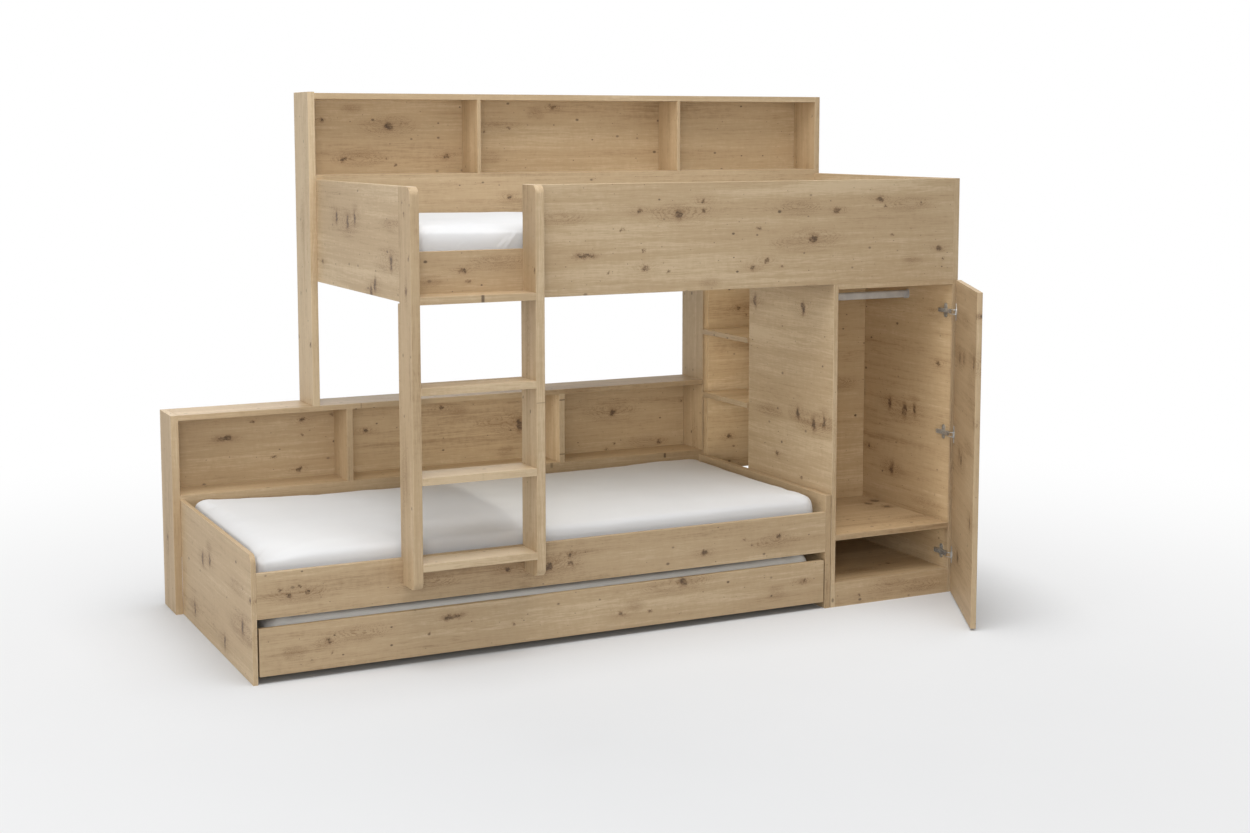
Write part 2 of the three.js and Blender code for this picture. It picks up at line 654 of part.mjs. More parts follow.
// A plate with wings on the wardrobe's side, and over it the arm with its nose
function hingeArm(name, height) {
  const face = wardrobeInnerRight;
  const armBottom = face - PLATE;
  const armZ = [height - ARM_HEIGHT / 2, height + ARM_HEIGHT / 2];
  const wing = new THREE.Shape();
  const wingRadius = PLATE_WING_WIDTH / 2;
  const wingRise = PLATE_WING_HEIGHT / 2 - wingRadius;
  wing.absarc(PLATE_SCREW_SETBACK, height + wingRise, wingRadius, 0, Math.PI, false);
  wing.absarc(PLATE_SCREW_SETBACK, height - wingRise, wingRadius, Math.PI, 2 * Math.PI, false);
  wing.closePath();
  const parts = [
    plank(wing, "x", armBottom, PLATE, 0),
    box([armBottom, face], [PLATE_SCREW_SETBACK - wingRadius - PLATE, ARM_BACK], armZ, 0),
  ];
  const arm = new THREE.Shape();
  arm.moveTo(armBottom, ARM_FRONT);
  arm.lineTo(armBottom, ARM_BACK);
  arm.lineTo(armBottom - ARM_THICKNESS / 2, ARM_BACK);
  arm.lineTo(armBottom - ARM_THICKNESS, ARM_BACK - ARM_THICKNESS);
  arm.lineTo(armBottom - ARM_THICKNESS, ARM_FRONT);
  arm.closePath();
  parts.push(plank(arm, "z", armZ[0], ARM_HEIGHT, 0));
  const noseStart = Math.PI - Math.asin((ARM_FRONT + PLATE - doorAxisY) / LINK_RADIUS);
  const noseEnd = linkAngleAtDepth(-DOOR_GAP - CUP_DEPTH + CUP_WALL + LINK_END_CLEARANCE);
  parts.push(plank(linkOutline(noseStart, noseEnd), "z", armZ[0], ARM_HEIGHT, 0));
  [-1, 1].forEach((side) => {
    const centre = [PLATE_SCREW_SETBACK, height + side * wingRise];
    parts.push(rod("x", SCREW_HEAD / 2, armBottom - SCREW_HEAD_HEIGHT, face, centre, SCREW_FACETS));
  });
  const screwHoles = ARM_SCREW_PLACES.map((share) =>
    rod(
      "x",
      ARM_SCREW / 2,
      armBottom - ARM_THICKNESS - OVERRUN,
      armBottom - ARM_THICKNESS + PLATE,
      [ARM_FRONT + share * (ARM_BACK - ARM_FRONT), height],
      SCREW_FACETS,
    ),
  );
  add(name, cut(join(parts), screwHoles), steelMaterial());
}

function doorAndHinges() {
  doorPanel();
  HINGE_HEIGHTS.forEach((height, i) => {
    hingeCup("hinge_cup_" + (i + 1), height);
    hingeArm("hinge_arm_" + (i + 1), height);
  });
  door.position.set(doorAxisX, doorAxisY, 0);
  door.rotation.z = THREE.MathUtils.degToRad(DOOR_ANGLE);
}

// Slats across a bed, held at their pitch by two bands let into their undersides
function slatBase(name, innerX, innerY, bottom, ledgeWidth) {
  const x = [innerX[0] + LEDGE_END_CLEARANCE, innerX[1] - LEDGE_END_CLEARANCE];
  const y = [innerY[0] + SLAT_CLEARANCE, innerY[1] - SLAT_CLEARANCE];
  const pitch = Math.floor((x[1] - x[0] - SLAT_WIDTH) / (SLAT_COUNT - 1));
  const parts = [];
  for (let i = 0; i < SLAT_COUNT; i++) {
    const left = x[0] + i * pitch;
    parts.push(box([left, left + SLAT_WIDTH], y, [bottom, bottom + SLAT], 0));
  }
  const bandX = [x[0], x[0] + (SLAT_COUNT - 1) * pitch + SLAT_WIDTH];
  const bandZ = [bottom - BAND / 2, bottom + BAND / 2];
  const bandInset = ledgeWidth + BAND_LEDGE_GAP;
  [innerY[0] + bandInset, innerY[1] - bandInset - BAND_WIDTH].forEach((bandFront) => {
    parts.push(box(bandX, [bandFront, bandFront + BAND_WIDTH], bandZ, 0));
  });
  add(name, join(parts), birchMaterial());
}

// A mattress with rounded corners, sides drawn in at both seams and a crowned top. Each ring is a rounded
// rectangle, given by how far it is drawn in and how high it lies.
function mattress(x, y, bottom, height, crown) {
  const edge = height - crown;
  const half = [(x[1] - x[0]) / 2, (y[1] - y[0]) / 2];
  const rings = [[MATTRESS_SEAM, 0]];
  MATTRESS_RISES.forEach((share) => {
    const fromMiddle = 2 * share - 1;
    const seam = fromMiddle < 0 ? MATTRESS_SEAM : MATTRESS_TOP_SEAM;
    rings.push([seam * (1 - Math.sqrt(1 - fromMiddle ** MATTRESS_FULLNESS)), share * edge]);
  });
  rings.push([MATTRESS_TOP_SEAM, edge]);
  MATTRESS_REACHES.forEach((share) => {
    const inset = MATTRESS_TOP_SEAM + share * (half[1] - MATTRESS_TOP_SEAM);
    rings.push([inset, edge + crown * (1 - (1 - share) ** 2)]);
  });
  const cornerSteps = MATTRESS_CORNER_STEPS;
  const points = [];
  rings.forEach(([inset, rise]) => {
    const radius = Math.max(MATTRESS_CORNER - inset / 2, MATTRESS_TIGHTEST_CORNER);
    const reach = [half[0] - inset - radius, half[1] - inset - radius];
    const ring = [];
    [[1, 1], [-1, 1], [-1, -1], [1, -1]].forEach(([sx, sy], quarter) => {
      for (let i = 0; i <= cornerSteps; i++) {
        const angle = (quarter + i / cornerSteps) * (Math.PI / 2);
        ring.push([sx * reach[0] + radius * Math.cos(angle), sy * reach[1] + radius * Math.sin(angle)]);
      }
    });
    const whole = [];
    ring.forEach(([px, py], i) => {
      const next = ring[(i + 1) % ring.length];
      const steps = i % (cornerSteps + 1) === cornerSteps ? MATTRESS_SIDE_STEPS : 1;
      for (let k = 0; k < steps; k++) {
        whole.push([px + ((next[0] - px) * k) / steps, py + ((next[1] - py) * k) / steps]);
      }
    });
    whole.forEach(([px, py]) => points.push([px, py, rise]));
  });
  const perRing = points.length / rings.length;
  const middle = [(x[0] + x[1]) / 2, (y[0] + y[1]) / 2];
  const positions = points.flatMap(([px, py, pz]) => [middle[0] + px, middle[1] + py, bottom + pz]);
  positions.push(middle[0], middle[1], bottom);
  positions.push(middle[0], middle[1], bottom + height);
  const index = [];
  const under = points.length;
  const over = under + 1;
  const last = perRing * (rings.length - 1);
  for (let i = 0; i < perRing; i++) {
    const next = (i + 1) % perRing;
    index.push(under, next, i);
    index.push(over, last + i, last + next);
    for (let r = 0; r < rings.length - 1; r++) {
      const low = r * perRing;
      const high = low + perRing;
      index.push(low + i, low + next, high + next);
      index.push(low + i, high + next, high + i);
    }
  }
  const geometry = new THREE.BufferGeometry();
  geometry.setAttribute("position", new THREE.Float32BufferAttribute(positions, 3));
  geometry.setIndex(index);
  geometry.computeVertexNormals();
  return geometry;
}

function bedMattress(name, innerX, slatTop, height) {
  const slack = (innerX[1] - innerX[0] - MATTRESS_LENGTH) / 2;
  const y = [BOARD + MATTRESS_CLEARANCE, shelfFront - MATTRESS_CLEARANCE];
  const x = [innerX[0] + slack, innerX[1] - slack];
  add(name, mattress(x, y, slatTop + SEAT, height, MATTRESS_CROWN), sheetMaterial());
}

function bedding() {
  const innerY = [BOARD, shelfFront];
  const lowerX = [lowerInnerLeft, lowerInnerRight];
  const upperX = [upperInnerLeft, upperInnerRight];
  const lowerSlats = lowerLedgeBottom + LEDGE_HEIGHT;
  const upperSlats = upperLedgeBottom + LEDGE_HEIGHT;
  slatBase("lower_slat_base", lowerX, innerY, lowerSlats, LEDGE_WIDTH);
  slatBase("upper_slat_base", upperX, innerY, upperSlats, LEDGE_WIDTH);
  bedMattress("lower_mattress", lowerX, lowerSlats + SLAT, LOWER_MATTRESS_HEIGHT);
  bedMattress("upper_mattress", upperX, upperSlats + SLAT, UPPER_MATTRESS_HEIGHT);
}

// A castor's housing under the ledge, with the axle that the wheel turns on
function castorHousing(x, y) {
  const plateZ = [TRUNDLE_LEDGE_BOTTOM - FORK_PLATE, TRUNDLE_LEDGE_BOTTOM];
  const inner = WHEEL_WIDTH / 2 + FORK_CLEARANCE;
  const outer = inner + FORK_WALL;
  const plateHalf = FORK_PLATE_WIDTH / 2;
  const cheekY = [y - FORK_WIDTH / 2, y + FORK_WIDTH / 2];
  const cheekZ = [WHEEL_RADIUS - FORK_BELOW_AXLE, plateZ[0]];
  return [
    box([x - plateHalf, x + plateHalf], [y - plateHalf, y + plateHalf], plateZ, 0),
    box([x - outer, x - inner], cheekY, cheekZ, 0),
    box([x + inner, x + outer], cheekY, cheekZ, 0),
    rod("x", AXLE / 2, x - outer, x + outer, [y, WHEEL_RADIUS], AXLE_FACETS),
  ];
}

function wheel(name, x, y) {
  const bore = AXLE / 2 + AXLE_CLEARANCE;
  const half = WHEEL_WIDTH / 2;
  const profile = [
    [bore, -half],
    [WHEEL_RADIUS - WHEEL_RIM, -half],
    [WHEEL_RADIUS, -half + WHEEL_RIM],
    [WHEEL_RADIUS, half - WHEEL_RIM],
    [WHEEL_RADIUS - WHEEL_RIM, half],
    [bore, half],
    [bore, -half],
  ];
  const geometry = new THREE.LatheGeometry(profile.map(([r, h]) => new THREE.Vector2(r, h)), ROUND_FACETS);
  geometry.rotateZ(-Math.PI / 2);
  geometry.translate(x, y, WHEEL_RADIUS);
  add(name, geometry, wheelMaterial());
}

// A trundle rail with its ledge and the housings of the two castors under it
function trundleRail(name, board, face, inward) {
  const wheelY = face + inward * WHEEL_FROM_RAIL;
  const support = ledge(
    trundleInnerX, face, inward, TRUNDLE_LEDGE_BOTTOM, TRUNDLE_LEDGE_WIDTH, TRUNDLE_LEDGE_HEIGHT,
  );
  const housings = wheelXs.flatMap((x) => castorHousing(x, wheelY));
  add(name, join([board, support, ...housings]), oakMaterial());
  return wheelY;
}

function trundle() {
  const x = [trundleLeft, trundleRight];
  const sideZ = [TRUNDLE_SIDE_BOTTOM, TRUNDLE_SIDE_BOTTOM + TRUNDLE_SIDE_HEIGHT];
  const frontZ = [TRUNDLE_FRONT_BOTTOM, TRUNDLE_FRONT_BOTTOM + TRUNDLE_FRONT_HEIGHT];
  const front = box(x, [0, BOARD], frontZ);
  const back = box(x, [trundleInnerY[1], trundleBack], sideZ);
  const wheelYs = [
    trundleRail("trundle_front", front, trundleInnerY[0], 1),
    trundleRail("trundle_back", back, trundleInnerY[1], -1),
  ];
  wheelYs.forEach((y, row) => {
    wheelXs.forEach((wheelX, i) => wheel("trundle_wheel_" + (row * wheelXs.length + i + 1), wheelX, y));
  });
  oakBoard("trundle_left_side", [x[0], trundleInnerX[0]], trundleInnerY, sideZ);
  oakBoard("trundle_right_side", [trundleInnerX[1], x[1]], trundleInnerY, sideZ);
  const slatBottom = TRUNDLE_LEDGE_BOTTOM + TRUNDLE_LEDGE_HEIGHT;
  slatBase("trundle_slat_base", trundleInnerX, trundleInnerY, slatBottom, TRUNDLE_LEDGE_WIDTH);
  const gap = MATTRESS_CLEARANCE;
  const body = mattress(
    [trundleInnerX[0] + gap, trundleInnerX[1] - gap],
    [trundleInnerY[0] + gap, trundleInnerY[1] - gap],
    slatBottom + SLAT + SEAT,
    TRUNDLE_MATTRESS_HEIGHT,
    TRUNDLE_MATTRESS_CROWN,
  );
  add("trundle_mattress", body, sheetMaterial());
}

lowerBed();
lowerShelf();
upperShelf();
upperBed();
ladder();
wardrobe();
niche();
clothesRail();
doorAndHinges();
bedding();
trundle();

// The origin goes to the floor under the middle of the whole object, on whole millimetres
const extent = new THREE.Box3().setFromObject(root);
root.position.set(
  -Math.round((extent.min.x + extent.max.x) / 2),
  -Math.round((extent.min.y + extent.max.y) / 2),
  0,
);

export default root;
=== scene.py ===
"""Looks of the bunk bed with wardrobe: boards in a printed oak decor, three made-up mattresses, metal and
plastic fittings, a pale studio floor and the camera. Lengths are metres. Places on boards are written in
millimetres in the layout of the boards, whose origin is the foot of the lower bed's left side, and are moved
by LAYOUT_AT."""
import math

import bpy
import numpy as np
from mathutils import Matrix, Vector, noise


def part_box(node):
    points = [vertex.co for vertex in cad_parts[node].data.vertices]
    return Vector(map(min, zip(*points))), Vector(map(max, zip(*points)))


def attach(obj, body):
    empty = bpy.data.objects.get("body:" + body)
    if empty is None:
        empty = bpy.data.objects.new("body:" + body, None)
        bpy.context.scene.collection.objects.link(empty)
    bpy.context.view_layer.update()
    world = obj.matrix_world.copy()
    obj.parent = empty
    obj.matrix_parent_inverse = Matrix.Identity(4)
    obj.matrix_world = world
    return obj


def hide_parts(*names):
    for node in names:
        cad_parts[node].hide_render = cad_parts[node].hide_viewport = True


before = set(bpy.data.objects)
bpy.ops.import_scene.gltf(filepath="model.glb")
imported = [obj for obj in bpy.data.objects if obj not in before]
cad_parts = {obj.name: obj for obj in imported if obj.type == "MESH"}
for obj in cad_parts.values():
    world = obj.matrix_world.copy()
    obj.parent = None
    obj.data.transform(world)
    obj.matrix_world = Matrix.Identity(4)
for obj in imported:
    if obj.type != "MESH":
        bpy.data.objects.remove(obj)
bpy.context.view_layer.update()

LAYOUT_AT = Vector((-1.272, -0.308, 0.0))
MM = 0.001
WHITE = (1.0, 1.0, 1.0, 1.0)

# Camera
CAMERA_AT = Vector((-1.36907, -5.25202, 1.65627)) + LAYOUT_AT
CAMERA_YAW = math.radians(25.9794)
CAMERA_PITCH = math.radians(6.2)
CAMERA_ROLL = math.radians(-0.0708)
CAMERA_LENS = 52.42
CAMERA_SENSOR = 36.0
CAMERA_SHIFT = (0.01288, -0.07)
CAMERA_CLIP = (0.05, 100.0)

# Light: the world, and soft lamps that all aim at one place, each with its own place, a size and a power
AMBIENT = 0.14
LAMP_AIM = Vector((0.0, 0.2, 0.8))
LAMPS = {
    "overhead": ((-0.5, -1.5, 5.5), 5.0, 262),
    "left": ((-6.0, -0.8, 2.0), 4.0, 112),
    "front": ((-2.9, -5.5, 1.9), 2.0, 76),
    "back": ((0.5, 6.0, 3.5), 4.0, 60),
    "right": ((6.5, 1.0, 2.5), 4.0, 60),
}

# Faint lamps in the openings of the recesses and under the upper bed, each as two corners in the layout of
# the boards, the way that it shines and its radiance. The niche's lamp shines less to its sides than the
# others, so that it doesn't light the wall beside it too strongly.
RECESS_COLOUR = (1.0, 0.97, 0.86)
RECESS_LAMPS = {
    "between_beds": ((30, 30, 1120), (2000, 900, 1120), (0, 0, -1), 0.26),
    "towards_wardrobe": ((900, 60, 450), (900, 880, 1100), (1, 0, 0), 0.45),
    "trundle_gap": ((24, -1, 173), (2018, -1, 199), (0, 1, 0), 0.55),
    "upper_shelf": ((505, 916, 1508), (2521, 916, 1768), (0, 1, 0), 0.31),
    "lower_shelf_left": ((4, 916, 417), (594, 916, 673), (0, 1, 0), 0.22),
    "lower_shelf_middle": ((624, 916, 417), (1425, 916, 673), (0, 1, 0), 0.43),
    "lower_shelf_right": ((1455, 916, 417), (2038, 916, 673), (0, 1, 0), 0.30),
    "niche": ((2044, 577, 340), (2044, 911, 1111), (1, 0, 0), 1.62),
    "wardrobe": ((2072, 4, 259), (2544, 4, 1111), (0, 1, 0), 0.66),
    "wardrobe_low": ((2072, 20, 90), (2544, 20, 235), (0, 1, 0), 0.45),
}
RECESS_SPREADS = {"niche": math.radians(125)}

# The floor turns into the white of the background with the distance from a place in front of the beds, but
# not within CONTACT_REACH of something standing on it: there ambient occlusion holds the white back, which
# paints shade near and under things
FLOOR_HALF = 40.0
FLOOR_DARK = (0.672, 0.680, 0.692)
FLOOR_LIGHT = (0.692, 0.700, 0.712)
GLOW_FROM = (-0.6, -1.2, 0.0)
GLOW_REACH = (-2.0, 5.0)
CONTACT_REACH = 0.45

# Oak decor: its colours, including a painted highlight along the edges of the boards, how much the
# highlight shows and how wide it is, and how far the decor of one board is from that of the next
OAK_DARK = (0.300, 0.196, 0.104)
OAK_MIDDLE = (0.490, 0.358, 0.214)
OAK_LIGHT = (0.610, 0.474, 0.306)
FIGURE_COLOUR = (0.250, 0.150, 0.076)
KNOT_COLOUR = (0.085, 0.052, 0.032)
EDGE_HIGHLIGHT_COLOUR = (0.620, 0.490, 0.320)
EDGE_HIGHLIGHT_SHOWN = 0.28
EDGE_HIGHLIGHT_WIDTH = 0.0016
BOARD_SHIFT = Vector((1.37, 0.53, 0.31))

# Growth lines: how many there are to a metre, how many lines slow waves and quick ones move them by, and
# how many close into rings at a knot
LINES_PER_METRE = 75.0
LINE_SWING = 17.0
LINE_WOBBLE = 2.3
KNOT_RINGS = 9.0

# What makes the wood lighter and darker, as features to a metre along the grain, across it and through the
# board, then detail, roughness and strength
GRAIN_LAYERS = {
    "tone": ((0.9, 4.0, 4.0), 2.0, 0.5, 1.2),
    "bands": ((1.1, 15.0, 15.0), 2.0, 0.55, 1.35),
    "streaks": ((2.4, 75.0, 75.0), 3.0, 0.6, 0.9),
    "fibres": ((14.0, 330.0, 330.0), 4.0, 0.7, 1.3),
    "flecks": ((60.0, 30.0, 30.0), 3.0, 0.65, 0.5),
}

# Pin knots, in large cells and in small ones: cells to a metre, the share of cells that has none, and the
# least radius and the most that is added to it, both as shares of a cell
PIN_LAYERS = [
    ((11.0, 16.0, 0.0), 0.56, 0.018, 0.055),
    ((19.0, 23.0, 0.0), 0.74, 0.022, 0.016),
]

# Noises that bend the outlines of the placed knots: scale, detail, roughness and reach along and across the
# grain
KNOT_BENDS = [
    (42.0, 1.0, 0.5, (0.030, 0.012, 0.0)),
    (95.0, 5.0, 0.78, (0.030, 0.022, 0.0)),
    (330.0, 2.0, 0.5, (0.014, 0.012, 0.0)),
]

# Half length and half width of a knot's core, along and across the grain in millimetres, and how dark it
# is, or None where there is no core. Then the same of the figure round it, with how strong it is.
KNOTS = {
    "dot": ((3.8, 3.2, 0.80), (18, 8, 0.30)),
    "knot": ((6.5, 6.0, 0.92), (52, 20, 0.62)),
    "burl": ((12, 11, 0.95), (100, 36, 0.90)),
    "crack": ((8.0, 17, 0.95), (64, 34, 0.80)),
    "star": ((10, 19, 0.95), (110, 46, 0.95)),
    "streak": ((24, 5.5, 0.92), (66, 16, 0.62)),
    "blot": ((15, 14, 0.92), (110, 42, 0.95)),
    "eye": (None, (90, 26, 0.85)),
    "shade": (None, (34, 20, 1.0)),
}

# Knots of the boards that show most: along the grain and across it, in the layout of the boards
BOARD_KNOTS = {
    "lower_left_side": [
        ("dot", 753, 284), ("crack", 605, 261), ("crack", 514, 276), ("shade", 521, 318),
        ("crack", 737, 63), ("star", 108, 152), ("eye", 183, 138), ("crack", 336, 49), ("knot", 13, 259),
        ("eye", 161, 268)],
    "lower_shelf_end": [("dot", 706, 980), ("knot", 250, 1010)],
    "left_post": [("knot", 905, 935), ("dot", 925, 1075), ("eye", 1330, 1000)],
    "upper_left_end": [
        ("crack", 683, 1369), ("star", 566, 1358), ("crack", 490, 1372), ("shade", 488, 1407),
        ("knot", 850, 1207), ("star", 134, 1247), ("eye", 201, 1224), ("crack", 290, 1168),
        ("crack", 334, 1143), ("eye", 134, 1368)],
    "upper_rear_rail": [("knot", 1233, 1415)],
    "upper_front_board": [
        ("knot", 688, 1228), ("dot", 706, 1192), ("shade", 584, 1198), ("eye", 805, 1250),
        ("knot", 1302, 1401), ("burl", 1443, 1386), ("knot", 1536, 1429), ("knot", 1536, 1398),
        ("dot", 1236, 1342), ("streak", 1106, 1260), ("dot", 1188, 1206), ("dot", 1317, 1270),
        ("knot", 1322, 1213), ("dot", 1406, 1200), ("shade", 1564, 1160), ("eye", 1014, 1383),
        ("knot", 2056, 1388), ("knot", 2233, 1424), ("dot", 2260, 1399), ("eye", 2358, 1401),
        ("dot", 2405, 1408), ("burl", 1967, 1292), ("eye", 1887, 1279), ("dot", 1749, 1333),
        ("knot", 1778, 1224), ("knot", 1725, 1203), ("dot", 1838, 1200), ("dot", 2286, 1298),
        ("knot", 2485, 1245), ("dot", 2503, 1208), ("shade", 2372, 1209), ("eye", 1909, 1397)],
    "ladder_left_upright": [("knot", 1176, -60), ("dot", 1285, -88), ("dot", 1406, -49), ("eye", 600, -30)],
    "ladder_right_upright": [("dot", 1228, -94), ("eye", 1010, -40)],
    "lower_shelf_back": [
        ("streak", 197, 577), ("dot", 301, 630), ("knot", 479, 622), ("dot", 592, 633), ("dot", 476, 567),
        ("dot", 373, 496), ("knot", 463, 441), ("knot", 720, 566), ("knot", 1014, 631),
        ("shade", 1082, 611), ("eye", 1241, 558), ("star", 1331, 544), ("shade", 1276, 443),
        ("burl", 1726, 564), ("dot", 2028, 590), ("eye", 1872, 437), ("knot", 1931, 433),
        ("dot", 1738, 440), ("dot", 1699, 418)],
    "lower_rear_rail": [("dot", 235, 385), ("shade", 91, 392)],
    "rear_post": [("eye", 457, 976)],
    "lower_front_rail": [
        ("knot", 117, 266), ("dot", 151, 290), ("knot", 173, 272), ("dot", 89, 283), ("eye", 145, 265),
        ("eye", 566, 254), ("knot", 832, 269), ("knot", 1051, 293), ("knot", 1055, 264),
        ("knot", 1546, 248), ("dot", 1705, 279), ("dot", 1732, 256), ("knot", 1841, 275),
        ("eye", 1821, 257), ("burl", 973, 263)],
    "trundle_front": [
        ("knot", 234, 109), ("dot", 248, 71), ("streak", 642, 136), ("dot", 563, 92), ("shade", 129, 84),
        ("eye", 340, 122), ("dot", 848, 87), ("knot", 1235, 76), ("dot", 1339, 71), ("shade", 1284, 97),
        ("eye", 1396, 147), ("burl", 1464, 158), ("knot", 1936, 107), ("shade", 1830, 81)],
    "wardrobe_left_side": [
        ("crack", 199, 1032), ("crack", 226, 655), ("star", 120, 634), ("crack", 56, 649),
        ("shade", 56, 681), ("knot", 364, 488), ("dot", 202, 427), ("crack", 529, 1033), ("eye", 421, 639)],
    "wardrobe_right_side": [
        ("knot", 78, 822), ("crack", 375, 639), ("star", 281, 624), ("crack", 217, 636),
        ("shade", 220, 675), ("knot", 508, 457), ("crack", 357, 395), ("eye", 86, 1000), ("eye", 130, 300)],
    "niche_back": [("knot", 2201, 965), ("dot", 2233, 938), ("knot", 2162, 461), ("dot", 2180, 420)],
    "upper_shelf_back": [
        ("burl", 824, 1676), ("knot", 570, 1700), ("shade", 683, 1736), ("knot", 649, 1557),
        ("eye", 709, 1557), ("dot", 812, 1558), ("dot", 844, 1535), ("knot", 1045, 1566),
        ("eye", 1246, 1674), ("dot", 1297, 1669), ("dot", 1192, 1657), ("knot", 1475, 1746),
        ("shade", 1406, 1724), ("shade", 1226, 1558)],
    "wardrobe_back": [
        ("dot", 2150, 640), ("knot", 2300, 880), ("eye", 2260, 520), ("knot", 2440, 150),
        ("eye", 2420, 700)],
    "wardrobe_shelf": [
        ("crack", 2480, 410), ("blot", 2510, 330), ("blot", 2530, 440), ("eye", 2500, 140),
        ("dot", 2250, 200)],
    "wardrobe_bottom": [("knot", 2405, 163), ("eye", 2250, 120), ("dot", 2480, 300)],
    "wardrobe_plinth": [("eye", 2428, 40), ("eye", 2300, 55), ("dot", 2170, 30)],
    "wardrobe_door": [
        ("blot", 2425, 869), ("crack", 2330, 880), ("star", 2100, 894), ("knot", 2061, 1050),
        ("blot", 2349, 522), ("crack", 2400, 535), ("knot", 2070, 694), ("blot", 2390, 169),
        ("crack", 2124, 346), ("eye", 2300, 1010), ("eye", 2200, 600), ("eye", 2150, 820)],
}

# Painted light and shade: boards made lighter or darker than the rest for the light that falls on them
BOARD_PAINTED_LIGHT = {
    "left_post": 0.60, "ladder_left_upright": -0.12, "ladder_right_upright": 0.25, "lower_shelf_end": 0.15,
    "ladder_tread_1": 0.55, "ladder_tread_2": 0.40, "ladder_tread_3": 0.30, "wardrobe_plinth": 0.20,
    "lower_left_side": 0.12, "upper_left_end": 0.14, "upper_front_board": 0.14, "wardrobe_left_side": 0.24,
    "wardrobe_back": 0.12, "upper_shelf_back": 0.05,
}

# The axis that the grain runs along, the axis across it and the axis through the board
BOARD_GRAIN = {
    "YZX": ["lower_left_side", "lower_right_side", "upper_left_end", "upper_right_end", "wardrobe_left_side",
            "wardrobe_right_side", "trundle_left_side", "trundle_right_side"],
    "ZYX": ["lower_shelf_end", "rear_post", "left_post", "upper_shelf_end", "ladder_left_upright",
            "ladder_right_upright", "lower_shelf_divider_1", "lower_shelf_divider_2", "upper_shelf_divider_1",
            "upper_shelf_divider_2"],
    "XYZ": ["lower_shelf_bottom", "lower_shelf_top", "upper_shelf_bottom", "upper_shelf_top",
            "ladder_tread_1", "ladder_tread_2", "ladder_tread_3", "ladder_tread_4", "wardrobe_top",
            "wardrobe_bottom", "wardrobe_shelf", "niche_shelf_1", "niche_shelf_2"],
    "XZY": ["lower_front_rail", "lower_rear_rail", "lower_shelf_back", "upper_front_board", "upper_rear_rail",
            "upper_shelf_back", "wardrobe_back", "wardrobe_plinth", "niche_back", "trundle_front",
            "trundle_back", "wardrobe_door"],
}

# The boards that carry something on their inner face, by the places of their own two faces along Y. It is a
# ledge for the slats, and under those of the trundle the castor housings, which reach up to HOUSING_TOP.
BOARD_FACES = {
    "lower_front_rail": (0, 18), "upper_front_board": (0, 18), "trundle_front": (0, 18),
    "lower_rear_rail": (915, 933), "upper_rear_rail": (915, 933), "trundle_back": (894, 912),
}
HOUSING_TOP = 47.9

# The door's grain follows the door, which stands open at rest
DOOR_AXIS = Vector((2.565, -0.016, 0.0)) + LAYOUT_AT
DOOR_TURN = math.radians(-61)

# The other materials, each with a darker and a lighter colour
LEDGE_WOOD = ((0.50, 0.38, 0.23), (0.72, 0.60, 0.42))
HOUSING_PLASTIC = ((0.030, 0.030, 0.032), (0.060, 0.060, 0.064))
BIRCH = ((0.52, 0.39, 0.24), (0.72, 0.60, 0.42))
COTTON = ((0.730, 0.738, 0.750), (0.775, 0.780, 0.788))
COTTON_SLUB = (0.65, 0.65, 0.66)
STEEL = ((0.40, 0.40, 0.39), (0.64, 0.64, 0.62))
ALUMINIUM = ((0.50, 0.53, 0.58), (0.60, 0.63, 0.67))
WHEEL_PLASTIC = ((0.035, 0.035, 0.037), (0.075, 0.075, 0.078))
THREAD_PITCH = 0.0011
PLY_PITCH = 0.002618

# Cloth over the mattresses: the size of its mesh, how far inside the solid it starts, how long and how hard
# it is blown up, the share that it is cut too large by, the most that it moves, the height up to which it
# is held and how far it may stand out beside the solid
VOXEL = 0.012
CLOTH_START = 0.005
CLOTH_FRAMES = 20
CLOTH_PRESSURE = 4.0
CLOTH_EXTRA = 0.025
CLOTH_CAP = 0.011
HELD_HEIGHT = 0.02
SIDE_ROOM = 0.0025

# Waves of the tops: how quickly they follow each other along X and Y, their height and what is added to the
# seed. The last ones run along the long edges only, within EDGE_REACH of them. Creases reach CREASE_REACH
# into the mattress from its front side.
TOP_WAVES = [((3.0, 4.5), 0.0030, 0), ((9.0, 11.0), 0.0014, 3)]
EDGE_WAVES = ((5.0, 0.5), 0.005, 7)
EDGE_REACH = 0.06
CREASE_REACH = 0.03

# Each mattress: its body, its seed, the dips of its top and the creases of its front side. A dip has a
# place and a reach in plan and a depth, which is negative for a hump. A crease has its two ends along X and
# Z, a width and a height. All are millimetres in the layout of the boards.
MATTRESSES = {
    "lower_mattress": (
        "frame", 2.0,
        [((60, 60), (90, 90), 30), ((300, 560), (190, 150), 5), ((700, 380), (220, 160), 4),
         ((1250, 500), (260, 190), 4), ((1960, 80), (90, 100), 2), ((1960, 850), (110, 90), 8),
         ((30, 885), (60, 60), -14), ((191, 890), (75, 70), -5), ((456, 890), (80, 70), 3),
         ((636, 890), (70, 70), -4), ((752, 890), (70, 70), 3)],
        []),
    "upper_mattress": (
        "frame", 5.0,
        [((900, 150), (70, 120), 7), ((700, 430), (190, 170), 4)],
        [((840, 1285), (896, 1354), 4, 4.5), ((822, 1290), (862, 1326), 6, 2.5),
         ((682, 1290), (706, 1314), 3, 2.5), ((638, 1288), (660, 1307), 3, 2.0),
         ((650, 1284), (668, 1300), 2.5, 1.8), ((706, 1288), (724, 1303), 3, 1.6)]),
    "trundle_mattress": (
        "trundle", 8.0,
        [((46, 30), (42, 90), 30), ((500, 450), (260, 190), 3), ((1400, 430), (280, 190), 3)],
        []),
}


